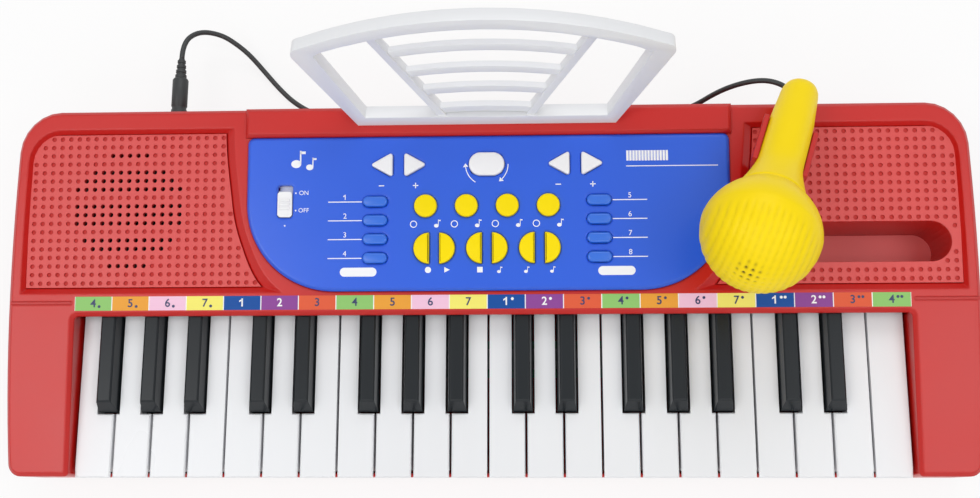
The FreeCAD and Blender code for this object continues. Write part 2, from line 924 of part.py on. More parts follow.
def power_switch_knob():
    """Sliding knob with its grip ribs, and its slider under the panel."""
    face = switch_face()
    bounds = face.BoundBox
    knob_top = panel_rise + switch_knob_rise
    slider_top = -panel_sunk - button_gap
    cap = prism(face, slider_top, knob_top)
    slider = box((bounds.XMin - flange_lap, bounds.YMin - flange_lap, slider_top - flange_thickness),
                 (bounds.XMax + flange_lap, bounds.YMax + flange_lap, slider_top))
    half = switch_rib_width / 2
    middle = (bounds.YMin + bounds.YMax) / 2
    ribs = []
    for row in range(switch_ribs):
        y = middle + (row - (switch_ribs - 1) / 2) * switch_rib_pitch
        ribs.append(box((bounds.XMin + arrow_corner, y - half, knob_top - switch_rib_height),
                        (bounds.XMax - arrow_corner, y + half, knob_top + switch_rib_height)))
    return on_deck(fused(cap, [slider] + ribs))


def post_places():
    """Posts under the panel that carry the main board."""
    x = panel_half - post_inset
    rows = (panel_front + post_from_front, panel_rear - post_from_rear)
    return [(side * x, y) for side in (-1, 1) for y in rows]


def control_panel():
    """Blue panel with its button holes and the posts for the main board."""
    plate = prism(panel_outline(), -panel_sunk, panel_rise)
    plate = plate.makeChamfer(panel_edge, level_edges(plate, panel_rise))
    faces = arrow_faces() + [oval_face()] + pad_faces() + moon_faces() + pill_faces()
    openings = [face.makeOffset2D(button_gap, 2) for face in faces] + [switch_slot()]
    holes = [prism(opening, -panel_sunk - overshoot, panel_rise + overshoot) for opening in openings]
    posts = [square_post(post_width, x, y, board_top, -panel_sunk) for x, y in post_places()]
    return on_deck(fused(plate.cut(holes), posts))


def circuit_board():
    """Main board on the panel's posts and the long contact board under the keys."""
    half = main_board_width / 2
    main = on_deck(box((-half, panel_front + main_board_front_margin, board_top - board_thickness),
                       (half, panel_rear - main_board_rear_margin, board_top)))
    y = key_front + contact_behind_front
    keys = box((-keys_half, y - key_board_depth / 2, key_board_height),
               (keys_half, y + key_board_depth / 2, key_board_height + board_thickness))
    return Part.Compound([main, keys])


def key_contact_strip():
    """Rubber contact strip on the board under the keys."""
    low = key_board_height + board_thickness
    y = key_front + contact_behind_front
    return box((-keys_half, y - strip_depth / 2, low),
               (keys_half, y + strip_depth / 2, low + strip_thickness))


# Music stand

def stand_place(shape):
    """Move a shape from the stand's own plane, x across and y up, to the deck's frame."""
    origin = Vector(0, case_rear - stand_from_rear, bar_rise)
    place = FreeCAD.Placement(origin, FreeCAD.Rotation(RIGHT, 90 - stand_lean))
    moved = shape.copy()
    moved.Placement = place.multiply(moved.Placement)
    return moved


def tenon(side, gap, rise):
    """Tab under the stand's base, or its socket when widened by a gap."""
    middle = side * tenon_place
    back = -(stand_thickness + tenon_thickness) / 2
    return box((middle - tenon_width / 2 - gap, -tenon_length - gap, back - gap),
               (middle + tenon_width / 2 + gap, rise, back + tenon_thickness + gap))


def arch_face(width, side_height, peak, base_width, base):
    """Area between a base line, two flaring sides and an arch."""
    left = Vector(-width / 2, side_height, 0)
    right = Vector(width / 2, side_height, 0)
    low_right = Vector(base_width / 2, base, 0)
    low_left = Vector(-base_width / 2, base, 0)
    return Part.Face(Part.Wire([
        Part.Arc(right, Vector(0, peak, 0), left).toShape(), Part.LineSegment(left, low_left).toShape(),
        Part.LineSegment(low_left, low_right).toShape(), Part.LineSegment(low_right, right).toShape()]))


def stand_arc_face(peak, width, radius):
    """Curved strip, one rib wide, that rises to its peak in the middle."""
    centre = Vector(0, peak - radius, 0)
    outer = Part.Wire(Part.makeCircle(radius, centre))
    inner = Part.Wire(Part.makeCircle(radius - width, centre))
    ring = Part.Face([outer, inner])
    ring.validate()
    return ring


def music_stand():
    """White open frame: base, flaring sides, arch, two slanting bars and the curved ribs between them."""
    outer = arch_face(stand_top, stand_side_height, stand_arch_height, stand_base, 0)
    inner = outer.makeOffset2D(-stand_bar, 2)
    frame = prism(outer.cut(inner), -stand_thickness, 0)
    reach = stand_top / 2
    sagitta = stand_arch_height - stand_side_height
    arch_radius = (reach * reach + sagitta * sagitta) / (2 * sagitta)
    half_rib = stand_rib / 2
    diagonals = []
    for side in (-1, 1):
        top = side * stand_diagonal_top
        bottom = side * stand_diagonal_bottom
        corners = [Vector(bottom - half_rib, stand_bar / 2, 0), Vector(bottom + half_rib, stand_bar / 2, 0),
                   Vector(top + half_rib, stand_arch_height, 0), Vector(top - half_rib, stand_arch_height, 0)]
        bar = Part.Face(Part.makePolygon(corners + corners[:1]))
        back = stand_diagonal_inset - stand_thickness
        diagonals.append(prism(bar.common(outer), back, -stand_diagonal_inset))
    between = Part.Face(Part.makePolygon([
        Vector(-stand_diagonal_bottom, 0, 0), Vector(stand_diagonal_bottom, 0, 0),
        Vector(stand_diagonal_top, stand_arch_height, 0), Vector(-stand_diagonal_top, stand_arch_height, 0),
        Vector(-stand_diagonal_bottom, 0, 0)]))
    rib_back = -(stand_thickness + stand_rib_thickness) / 2
    ribs = []
    for height in stand_rib_heights:
        strip = stand_arc_face(height + half_rib, stand_rib, arch_radius).common(between)
        ribs.append(prism(strip, rib_back, rib_back + stand_rib_thickness))
    foot = box((-stand_base / 2, -stand_bar, -stand_thickness), (stand_base / 2, stand_bar / 2, 0))
    stand = stand_place(fused(frame, diagonals + ribs + [foot]))
    stand = stand.cut(box((-far, -far, -far), (far, far, bar_rise + stand_seat_gap)))
    tenons = [stand_place(tenon(side, 0, stand_bar / 2)) for side in (-1, 1)]
    return on_deck(fused(stand, tenons))


# Microphone

def microphone_handle():
    """Hollow handle with a domed tail and the flaring cup under the head."""
    inner = tail_radius - microphone_wall
    top = head_length - head_rim_width / 2
    tail = [(radius, tail_radius - height) for radius, height in dome_points(tail_radius, tail_steps)]
    profile = tail + [
        (handle_radius, taper_length), (handle_radius, handle_length),
        (neck_radius, neck_length), (cup_radius, cup_length),
        (head_radius, head_length - head_rim_width), (head_radius, top), (head_radius - microphone_wall, top),
        (cup_radius - microphone_wall, cup_length + microphone_wall), (inner, neck_length + microphone_wall),
        (inner, tail_radius), (0, tail_radius)]
    return on_deck(microphone_place(turned(profile)))


def microphone_grille():
    """Domed front of the microphone's head, with the rim that meets the handle's cup."""
    low = head_length - head_rim_width / 2
    rim = head_radius + head_rim
    dome = [(radius, head_length + height) for radius, height in dome_points(head_radius, head_steps)]
    inside = head_radius - microphone_wall
    hollow = [(radius, head_length + height) for radius, height in dome_points(inside, hollow_steps)]
    shoulder = head_length + head_rim_width / 2
    profile = [(inside, low), (rim, low), (rim, shoulder)]
    profile += [point for point in reversed(dome) if point[1] > shoulder] + hollow
    return on_deck(microphone_place(turned(profile)))


def dome_points(radius, steps):
    """Points (radius, height) of a quarter circle, from its pole to its widest place."""
    turns = [math.pi / 2 * step / steps for step in range(steps + 1)]
    return [(radius * math.sin(turn), radius * math.cos(turn)) for turn in turns]


def cord_exit():
    """Place and direction where the lead leaves the microphone's domed tail."""
    turn = math.radians(cord_exit_turn)
    outward = Vector(0, -math.sin(turn), -math.cos(turn))
    start = Vector(0, 0, tail_radius) + outward * tail_radius
    marks = [microphone_place(Part.Vertex(point)) for point in (start, start + outward)]
    first, second = [on_deck(mark).Vertexes[0].Point for mark in marks]
    return first, second - first


# Lead, plug and socket

def route_points():
    """All points of the lead's route, from the plug to the microphone."""
    start = Vector(-plug_side, case_rear + plug_gap + plug_length + relief_length, plug_height)
    exit_point, outward = cord_exit()
    ends = [exit_point + outward * cord_exit_run, exit_point]
    return [start, start + BACK * cord_plug_run] + [Vector(*point) for point in cord_route] + ends


def cord_path(points):
    """Straight runs joined by tangent arcs, as large as the runs allow; also gives the arcs' radii."""
    edges = []
    radii = []
    start = points[0]
    for before, corner, after in zip(points, points[1:], points[2:]):
        back = before - corner
        ahead = after - corner
        setback = bend_share * min(back.Length, ahead.Length)
        half_turn = (math.pi - back.getAngle(ahead)) / 2
        radius = setback / math.tan(half_turn)
        back.normalize()
        ahead.normalize()
        inward = back + ahead
        inward.normalize()
        arc_start = corner + back * setback
        arc_end = corner + ahead * setback
        middle = corner + inward * (radius / math.cos(half_turn) - radius)
        edges.append(Part.LineSegment(start, arc_start).toShape())
        edges.append(Part.Arc(arc_start, middle, arc_end).toShape())
        radii.append(radius)
        start = arc_end
    edges.append(Part.LineSegment(start, points[-1]).toShape())
    return Part.Wire(edges), radii


def microphone_cord():
    """Lead from the plug to the microphone."""
    points = route_points()
    path, radii = cord_path(points)
    circle = Part.Circle(points[0], points[1] - points[0], cord_radius)
    section = Part.makePolygon(circle.discretize(Number=cord_sides + 1))
    tube = path.makePipeShell([section], True, False)
    print("lead length", round(path.Length, 1), "volume over section times length",
          round(tube.Volume / Part.Face(section).Area / path.Length, 4))
    print("lead radii", [round(radius, 1) for radius in radii])
    return tube


def microphone_plug():
    """Plug with its pin, moulded body and tapering strain relief."""
    profile = [(0, -pin_length), (pin_radius, plug_edge - pin_length), (pin_radius, 0), (plug_radius, 0),
               (plug_radius, plug_length - plug_edge), (plug_radius - plug_edge, plug_length),
               (relief_radius, plug_length), (relief_end_radius, plug_length + relief_length),
               (0, plug_length + relief_length)]
    plug = turned(profile)
    plug.Placement = FreeCAD.Placement(Vector(-plug_side, case_rear + plug_gap, plug_height),
                                       FreeCAD.Rotation(RIGHT, -90))
    return plug


def jack_socket():
    """Socket in the rear wall: block inside, barrel through the wall, bore for the plug's pin."""
    inside = case_rear - case_wall
    half = socket_size / 2
    block = box((-plug_side - half, inside - socket_size, plug_height - half),
                (-plug_side + half, inside, plug_height + half))
    half_barrel = socket_barrel / 2
    barrel = box((-plug_side - half_barrel, inside, plug_height - half_barrel),
                 (-plug_side + half_barrel, case_rear, plug_height + half_barrel))
    bore = Part.makeCylinder(pin_radius + pin_gap, pin_length + overshoot,
                             Vector(-plug_side, case_rear - pin_length, plug_height), BACK)
    return fused(block, [barrel]).cut(bore)


def all_parts():
    """Every part under its name."""
    parts = {
        "upper_case": upper_case(),
        "lower_case": lower_case(),
        "control_panel": control_panel(),
        "speaker_grille": speaker_grille(),
        "tray_panel": tray_panel(),
        "speaker": speaker(),
        "circuit_board": circuit_board(),
        "key_contact_strip": key_contact_strip(),
        "key_rail": key_rail(),
        "battery_cover": battery_cover(),
        "rubber_feet": rubber_feet(),
        "arrow_buttons": button_group(arrow_faces() + [oval_face()]),
        "pill_buttons": button_group(pill_faces()),
        "round_pads": button_group(pad_faces()),
        "half_moon_buttons": button_group(moon_faces()),
        "power_switch_knob": power_switch_knob(),
        "music_stand": music_stand(),
        "microphone_handle": microphone_handle(),
        "microphone_grille": microphone_grille(),
        "microphone_cord": microphone_cord(),
        "microphone_plug": microphone_plug(),
        "jack_socket": jack_socket(),
    }
    for index in range(white_count):
        parts["white_key_%02d" % (index + 1)] = white_key(index)
    for number, (white, middle) in enumerate(black_places()):
        parts["black_key_%02d" % (number + 1)] = black_key(middle)
    return parts


def main():
    """Build all parts, centre them over the origin and write them."""
    os.makedirs("parts", exist_ok=True)
    parts = all_parts()
    boxes = [shape.optimalBoundingBox(False) for name, shape in parts.items()
             if name not in ("microphone_cord", "microphone_plug")]
    shift = -(min(b.YMin for b in boxes) + max(b.YMax for b in boxes)) / 2
    for name, shape in parts.items():
        shape.translate(Vector(0, shift, 0))
        shape.exportStep("parts/%s.step" % name)
        if not shape.isValid():
            print("not valid:", name)
    print("shift along Y", round(shift, 4), "height", round(max(b.ZMax for b in boxes), 3))
    for point in route_points():
        print("lead point", round(point.x, 2), round(point.y + shift, 2), round(point.z, 2))


main()
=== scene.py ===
"""Looks of a toy electronic keyboard with a clip-on microphone and a music stand.

Lengths are metres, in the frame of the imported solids: X along the keys, Y to the back, Z up.
"""

import math

import bmesh
import bpy
from bpy.props import FloatProperty, FloatVectorProperty, IntProperty, PointerProperty
from mathutils import Matrix, Vector


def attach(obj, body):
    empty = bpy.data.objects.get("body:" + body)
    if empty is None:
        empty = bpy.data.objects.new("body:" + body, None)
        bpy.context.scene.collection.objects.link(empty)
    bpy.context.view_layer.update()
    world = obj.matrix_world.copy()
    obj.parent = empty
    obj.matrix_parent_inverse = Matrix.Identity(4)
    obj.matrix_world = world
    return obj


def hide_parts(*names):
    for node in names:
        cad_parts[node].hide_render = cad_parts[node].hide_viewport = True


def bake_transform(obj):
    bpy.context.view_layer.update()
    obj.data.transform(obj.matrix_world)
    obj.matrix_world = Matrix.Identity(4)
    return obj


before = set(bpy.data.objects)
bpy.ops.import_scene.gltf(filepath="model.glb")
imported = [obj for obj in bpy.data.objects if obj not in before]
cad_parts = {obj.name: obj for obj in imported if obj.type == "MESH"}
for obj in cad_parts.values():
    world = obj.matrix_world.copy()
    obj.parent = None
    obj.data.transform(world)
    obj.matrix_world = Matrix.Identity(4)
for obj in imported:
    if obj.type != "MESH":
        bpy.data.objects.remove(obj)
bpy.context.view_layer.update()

bl_info = {
    "name": "Toy keyboard looks",
    "version": (1, 0, 0),
    "blender": (4, 5, 0),
    "location": "View3D > Sidebar > Keyboard",
    "description": "Builds the visible pieces and finishes of a toy electronic keyboard",
    "category": "Object",
}

MM = 0.001

# Distances at which doubles merge, and angles in degrees from which an edge counts as sharp or bent
MERGE_FINE = 0.002 * MM
MERGE_COPY = 0.01 * MM
PIECE_SHARP = 40.0
SHELL_SHARP = 3.0
HEAD_SHARP = 60.0
FLAT_ANGLE = 2.0
CORNER_ANGLE = 30.0

# Plastics: colour drift, fine skin, gloss and rounded light on edges
DRIFT_SCALE = 14.0
DRIFT_DETAIL = 3.0
SKIN_DETAIL = 2.0
SKIN_HEIGHT = 0.2 * MM
GLOSS_SPREAD = 0.2
COAT_ROUGHNESS = 0.25
EDGE_SAMPLES = 8

# Colours that a user has no need to change
STEEL_GREY = (0.55, 0.56, 0.58)
FOOT_BLACK = (0.02, 0.02, 0.02)
PAPER_BLACK = (0.012, 0.012, 0.012)
BOARD_GREEN = (0.02, 0.16, 0.05)
CONTACT_GREY = (0.3, 0.3, 0.3)
SOCKET_BLACK = (0.015, 0.015, 0.016)
# Painted shade in the cheeks' grooves
GROOVE_SHADE_RED = (0.07, 0.002, 0.002)
# Painted shade of the screws' crossed slots
CROSS_SHADE_BLACK = (0.02, 0.02, 0.02)
PRINT_WHITE = (0.88, 0.89, 0.92)
STRIP_WHITE = (0.88, 0.88, 0.88)
STRIP_NAVY = (0.012, 0.024, 0.1)
LEAD_BLACK = (0.016, 0.019, 0.02)
# Painted shade in the microphone head's pits
PIT_SHADE_BROWN = (0.10, 0.06, 0.002, 1)

# Sides of round shapes, and steps of rounded edges
DISC_SIDES = 40
BUTTON_SIDES = 48
SPUN_SIDES = 64
HOLE_SIDES = 12
RIM_STEPS = 4
EDGE_STEPS = 3

# The sloping deck has its own flat frame, in which y counts from the middle of the case
DECK_SHIFT = -12.256 * MM
DECK_HEIGHT = 49.2 * MM
DECK_SLOPE = math.radians(5.0)
DECK = Matrix.Translation((0, DECK_SHIFT, DECK_HEIGHT)) @ Matrix.Rotation(DECK_SLOPE, 4, "X")

# Slight bow of the case's two sides
BOW_RISE = 1.9 * MM
BOW_MIDDLE = -10.0 * MM
BOW_FRONT_REACH = 68.0 * MM
BOW_REAR_REACH = 80.0 * MM
BOW_INNER = 243.0 * MM
BOW_OUTER = 280.0 * MM
BOW_STEPS = 14

# Tray floors, left side; the right tray is its mirror image
TRAY_FLOOR = -4.0 * MM
TRAY_SIDE = -271.3 * MM
TRAY_TUCK = 1.6 * MM
TRAY_FRONT = 1.0 * MM
TRAY_REAR = 92.4 * MM
TRAY_CORNER = 16.3 * MM
TRAY_CORNER_STEPS = 10
TRAY_BEND_CENTRE = Vector((-89.0 * MM, 49.5 * MM))
TRAY_BEND = 66.5 * MM
TRAY_STEPS = 48

# The trays' inner sides come nearer to the panel than in the solids
SHIFT = 5.9 * MM
SHIFT_MIDDLE = 27.0 * MM
SHIFT_FRONT_REACH = 40.0 * MM
SHIFT_REAR_REACH = 68.0 * MM
SHIFT_FULL = 61.0 * MM
SHIFT_NONE = 52.3 * MM
SHIFT_LIMIT = 70.0 * MM
SHIFT_INNER = -112.0 * MM
# Lowest and highest y and z of the walls that shift
RECESS_LOW = Vector((-4.0 * MM, -4.6 * MM))
RECESS_HIGH = Vector((96.0 * MM, 0.6 * MM))

# Dimples, and the count of sound holes in each row
GRILLE_THICKNESS = 2.4 * MM
SPEAKER_SIDE = -213.3 * MM
SPEAKER_ROW = 44.2 * MM
DIMPLE_FIRST_ROW = -8
DIMPLE_LAST_ROW = 9
DIMPLE_COLUMNS = 18
DIMPLE_MARGIN = 0.06 * MM
DIMPLE_BOTTOM_PARTS = 9
SOUND_ROWS = {7: 5, 5: 9, 4: 11, 3: 13, 1: 13, 0: 13, -1: 13, -3: 11, -4: 9, -6: 5}

# Hand pocket and its lining; the margin is in radii of a dimple
POCKET_LOW = Vector((164.3 * MM, 13.1 * MM))
POCKET_HIGH = Vector((267.7 * MM, 36.9 * MM))
POCKET_STEPS = 16
POCKET_MARGIN = 1.3
POCKET_END_CLEAR = 5.0 * MM
POCKET_FLOOR = 10.6 * MM
LINING_GAP = 0.1 * MM
LINING_THICK = 0.4 * MM

# Grooves across the cheeks, with dark lines of painted shade in them
GROOVE_OUTER = 278.0 * MM
GROOVE_INNER = 245.0 * MM
GROOVE_FRONT = -12.6 * MM
GROOVE_WIDTH = 2.0 * MM
GROOVE_DEPTH = 1.0 * MM
GROOVE_LINE = 0.7 * MM
GROOVE_LINE_DROP = 0.3 * MM
GROOVE_RIB_DROP = 0.12 * MM

# Screws under the case
SCREW_PLACES = ((262.0 * MM, -95.0 * MM), (262.0 * MM, -30.0 * MM), (110.0 * MM, 96.0 * MM))
SCREW_LEVEL = 2.0 * MM
SCREW_PROFILE = [(0.0, -0.9), (2.2, -0.85), (2.9, -0.5), (3.1, 0.0)]
SCREW_SIDES = 24
CROSS_LONG = 1.7 * MM
CROSS_SHORT = 0.35 * MM
CROSS_LOW = SCREW_LEVEL - 0.93 * MM
CROSS_HIGH = CROSS_LOW + 0.1 * MM

# Control panel
PANEL_TOP = 3.0 * MM
BUTTON_LOW = -1.6 * MM
BUTTON_TOP = 5.4 * MM
PAD_RADIUS = 6.65 * MM
PAD_ROW = 46.9 * MM
PAD_PITCH = 23.8 * MM
PAD_COUNT = 4
PAD_PLACES = [(index - (PAD_COUNT - 1) / 2) * PAD_PITCH for index in range(PAD_COUNT)]
MOON_RADIUS = 9.0 * MM
MOON_ROW = 22.1 * MM
MOON_PITCH = 30.6 * MM
MOON_HALF_GAP = 3.0 * MM
PILL_SIDE = 65.1 * MM
PILL_REAR = 49.7 * MM
PILL_PITCH = 11.05 * MM
PILL_LENGTH = 14.4 * MM
PILL_WIDTH = 6.2 * MM
PILL_ROWS = 4
PILL_ROUNDING = 1.5
ARROW_ROW = 71.3 * MM
ARROW_PLACES = (-61.6 * MM, -41.6 * MM, 41.6 * MM, 61.6 * MM)
ARROW_LENGTH = 13.2 * MM
ARROW_WIDTH = 14.8 * MM
ARROW_CORNER = 2.24 * MM
ARROW_STEPS = 6
OVAL_LENGTH = 20.8 * MM
OVAL_WIDTH = 13.6 * MM
SWITCH_SIDE = -118.2 * MM
SHIELD_LOW = Vector((-122.2 * MM, 37.4 * MM, -2.4 * MM))
SHIELD_HIGH = Vector((-114.2 * MM, 61.4 * MM, -1.8 * MM))

# Print on the panel: lines with numbers, badges, plus and minus, words and dots
PRINT_LOW = PANEL_TOP - 0.02 * MM
PRINT_THICK = 0.1 * MM
LINE_START = 0.6 * MM
LINE_END = 20.5 * MM
LINE_HALF = 0.275 * MM
NUMBER_SIZE = 4.4 * MM
NUMBER_RISE = 2.6 * MM
BADGE_LENGTH = 21.4 * MM
BADGE_WIDTH = 5.2 * MM
BADGE_SIDE = 74.8 * MM
BADGE_ROW = 8.5 * MM
SIGN_DROP = 12.2 * MM
SIGN_REACH = 1.6 * MM
SIGN_HALF = 0.3 * MM
WORD_ROWS = {"ON": 55.2 * MM, "OFF": 44.9 * MM}
WORD_SIZE = 3.6 * MM
WORD_SHIFT = 11.0 * MM
DOT_RADIUS = 0.5 * MM
DOT_SIDES = 16
DOT_SHIFT = 6.3 * MM
DOT_ROW = 36.0 * MM
RULE_LEFT = 81.0 * MM
RULE_RIGHT = 134.0 * MM
RULE_FRONT = 69.2 * MM
RULE_REAR = 69.7 * MM
BARS_LEFT = 81.2 * MM
BARS_FRONT = 72.6 * MM
BAR_COUNT = 14
BAR_PITCH = 1.75 * MM
BAR_WIDTH = 1.35 * MM
BAR_HEIGHT = 6.0 * MM

# Signs under pads and half-moons, and curved arrows under the oval, with angles in degrees
PAD_NOTE_SHIFT = 6.3 * MM
PAD_NOTE_DROP = 11.6 * MM
PAD_RING_SHIFT = 7.0 * MM
PAD_RING_DROP = 10.6 * MM
RING_OUTER = 2.1 * MM
RING_INNER = 1.6 * MM
RING_SIDES = 28
MOON_SIGN_DROP = 12.6 * MM
RECORD_RADIUS = 1.8 * MM
RECORD_SIDES = 24
RECORD_SHIFT = 3.9 * MM
STOP_SHIFT = 3.4 * MM
MOON_NOTE_SHIFT = 0.6 * MM
MOON_NOTE_DROP = 1.2 * MM
MOON_NOTE_SCALE = 0.8
TURN_ARCS = ((184, 238), (-48, 0))
TURN_OUTER = 12.7 * MM
TURN_INNER = 12.2 * MM
TURN_TIP = 12.45 * MM
TURN_STEPS = 14
TIP_LEAD = 7
WING_LAG = 3
WING_INNER = 10.9 * MM
WING_OUTER = 14.0 * MM

# Music notes: sizes in millimetres at a scale of 1, and the two large ones' places and scales
NOTE_HEAD = 1.35
NOTE_SIDES = 20
NOTE_SQUASH = 0.8
STEM_LEFT = 0.95
STEM_TOP = 3.6
TAIL_RIGHT = 2.5
TAIL_LOW = 2.7
TAIL_HIGH = 3.4
LARGE_NOTES = ((-112.0 * MM, 72.5 * MM, 2.2), (-104.0 * MM, 70.5 * MM, 1.6))

# Thin nose of each white key, and how much slimmer the keys are than the solids
NOSE_THICK = 2.0 * MM
NOSE_STEP = 0.1 * MM
NOSE_DEPTH = 1.6 * MM
KEY_EDGE = 0.7 * MM
KEY_CORE = 4.0 * MM
KEY_TRIM = 0.22 * MM

# Number strip: cells, ink, and the dots that mark the octave
CELL_PITCH = 22.0 * MM
CELL_COUNT = 22
CELL_MARGIN = 0.3 * MM
CELL_TOP = 0.2 * MM
STRIP_FRONT = -12.9 * MM
STRIP_REAR = -4.7 * MM
STRIP_LOW = -0.05 * MM
STRIP_TOP = 0.12 * MM
STRIP_COLOURS = {
    1: (0.007, 0.076, 0.328), 2: (0.262, 0.065, 0.305), 3: (0.73, 0.114, 0.048), 4: (0.275, 0.552, 0.159),
    5: (0.807, 0.352, 0.045), 6: (0.871, 0.546, 0.701), 7: (0.89, 0.81, 0.17),
}
WHITE_INK_NUMBERS = (1, 2)
FIRST_NUMBER = 4
SCALE_NOTES = 7
INK_LOW = 0.18 * MM
INK_THICK = 0.12 * MM
INK_BOLD = 0.1 * MM
OCTAVE_DOT = 0.85 * MM
OCTAVE_SIDES = 14
OCTAVE_SHIFT = 3.5 * MM
OCTAVE_STEP = 2.2 * MM
OCTAVE_RISE = 1.6 * MM
OCTAVE_DROP = -1.7 * MM
# Stroke at the head of a 1, as shares of the letters' size
FLAG_RUN = 0.26
FLAG_RISE = 0.155
FLAG_WEIGHT = 0.14
FLAG_HEIGHT = 0.2125

# Microphone: its own frame has Z from the tail to the head; profiles are radius and height in millimetres
TAIL = Vector((181.76 * MM, 113.52 * MM, 12.05 * MM))
MIC_TILT = math.radians(28.6)
MIC_TURN = math.radians(21.3)
HANDLE_PROFILE = [
    (0.0, 1.0), (4.5, 1.3), (7.4, 2.3), (9.3, 4.1), (10.3, 6.6), (10.75, 9.6), (10.9, 12.0), (11.5, 20.0),
    (12.3, 30.0), (12.5, 45.0), (12.6, 60.0), (12.8, 66.0), (13.6, 70.0), (15.0, 75.0), (16.6, 80.0),
    (18.2, 84.4), (19.0, 86.4), (19.2, 87.2), (19.0, 87.9), (20.3, 89.4), (22.9, 92.4), (25.7, 96.0),
    (28.1, 99.7), (29.9, 103.4), (31.1, 107.0), (31.7, 109.8), (31.9, 111.0), (32.0, 112.0), (32.0, 113.2),
    (31.8, 114.4), (30.0, 114.4),
]
HEAD_RADIUS = 31.9 * MM
HEAD_LENGTH = 112.5 * MM
HEAD_SEAM = 1.9 * MM
HEAD_DIVISIONS = 7
PIT_NEAR = 7.0 * MM
PIT_FAR = 15.0 * MM
GROOVE_FLOOR = 0.6
# Painted shade in the head's pits: a little in every pit, and more in the deeper pits round this centre
DARK_CENTRE = Vector((-1.5 * MM, 4.5 * MM))
DARK_REACH = 9.0 * MM
DARK_DEPTH = 2
PIT_SHADE = 0.1
DARK_SHADE = 1.6

# Music stand: its top bar's two ends lie beyond this
STAND_REACH = 104.0 * MM
CORNER_STRETCH = 0.32
CORNER_STEPS = 8
# The stand's sides are wider than in the solids; their inner edges lie between the near and far distance
SIDE_EXTRA = 2.7 * MM
SIDE_LENGTH = 50.0 * MM
SIDE_NEAR = 72.0 * MM
SIDE_FAR = 96.5 * MM

# Lead: the route's points in millimetres, from the plug to the microphone's tail
LEAD_ROUTE = [
    (-192.5, 137.04, 30.0), (-192.5, 148.04, 30.0), (-184.5, 157.74, 24.0), (-172.0, 158.24, 16.5),
    (-162.0, 152.74, 11.0), (-154.5, 146.74, 7.0), (-146.0, 137.24, 3.0), (-136.0, 125.74, 1.9),
    (-126.0, 116.24, 1.9), (-113.0, 108.74, 1.9), (-85.0, 102.74, 1.9), (20.0, 102.74, 1.9),
    (104.0, 103.74, 1.9), (126.0, 107.74, 9.0), (141.0, 112.74, 26.0), (155.0, 114.74, 36.0),
    (168.0, 114.24, 41.5), (178.5, 108.74, 45.0), (180.55, 98.07, 55.14), (179.42, 94.26, 65.4),
]
ROUTE_RESOLUTION = 10
# Plug and its ringed relief: radius and height in millimetres
PLUG_START = Vector((-192.5 * MM, 94.04 * MM, 30.0 * MM))
PLUG_SIDES = 40
PLUG_PROFILE = [
    (0.0, -15.0), (1.1, -14.6), (1.75, -13.2), (1.75, 0.0), (4.5, 0.0), (4.85, 0.4), (4.85, 9.0),
    (4.4, 9.6), (4.4, 11.0), (4.85, 11.6), (4.85, 28.6), (4.2, 29.6), (3.4, 30.0),
]
RELIEF_START = 30.0
RELIEF_END = 43.0
RELIEF_STEP = 3.2
RELIEF_RINGS = 4
RELIEF_WIDE = 3.5
RELIEF_TAPER = 0.32
RELIEF_NECK = 0.7
RELIEF_EASE = 0.3
# Shares of a ring's step at which its ridge ends and its neck starts
RIDGE_END = 0.62
NECK_START = 0.7

# Stage: floor, world, lamps and camera
FLOOR_SIZE = 4.0
FLOOR_CUTS = 8
FLOOR_ROUGHNESS = 0.9
FLOOR_GLOW = 0.82
WORLD_LIGHT = 0.51
WORLD_SEEN = 1.0
# Each lamp's place, target, width, depth and watts
LAMPS = {
    "front": ((0.0, -1.3, 1.3), (0.0, 0.0, 0.0), 1.8, 0.8, 6.0),
    "upper_left": ((-1.0, -0.28, 1.9), (-0.1, 0.0, 0.0), 0.9, 0.9, 9.0),
    "upper_right": ((1.0, -0.28, 1.9), (0.1, 0.0, 0.0), 0.9, 0.9, 6.5),
    "rear": ((0.2, 1.3, 1.5), (0.15, 0.1, 0.0), 1.2, 0.8, 7.0),
}
CAMERA_PLACE = (0.02947, -0.13295, 0.73328)
CAMERA_TURN = (11.785, 2.323, 0.056)
CAMERA_SENSOR = 36.0
CAMERA_NEAR = 0.01


class CaseLooks(bpy.types.PropertyGroup):
    """Red case, trays and feet."""

    red: FloatVectorProperty(name="Case red", description="Colour of the case", subtype="COLOR",
                             min=0, max=1, default=(0.535, 0.008, 0.005))
    tray_red: FloatVectorProperty(name="Tray red", description="Colour of the matt tray floors",
                                  subtype="COLOR", min=0, max=1, default=(0.63, 0.062, 0.058))
    # Darker than the tray floors: painted shade at the foot of the dimples
    dimple_red: FloatVectorProperty(name="Dimple red", description="Colour at the foot of the dimples",
                                    subtype="COLOR", min=0, max=1, default=(0.52, 0.04, 0.036))
    # Paler than the trays: painted sheen on the pocket's floor
    pocket_red: FloatVectorProperty(name="Pocket red", description="Colour of the hand pocket's floor",
                                    subtype="COLOR", min=0, max=1, default=(0.85, 0.17, 0.17))
    dimple_pitch: FloatProperty(name="Dimple pitch", description="Distance between dimples along a row",
                                unit="LENGTH", default=5.12 * MM)
    dimple_row_pitch: FloatProperty(name="Row pitch", description="Distance between rows of dimples",
                                    unit="LENGTH", default=5.09 * MM)
    dimple_radius: FloatProperty(name="Dimple radius", description="Radius of dimples and sound holes",
                                 unit="LENGTH", default=1.4 * MM)
    sheet: FloatProperty(name="Dimple depth", description="Depth of the dimples in the tray floors",
                         unit="LENGTH", default=0.9 * MM)


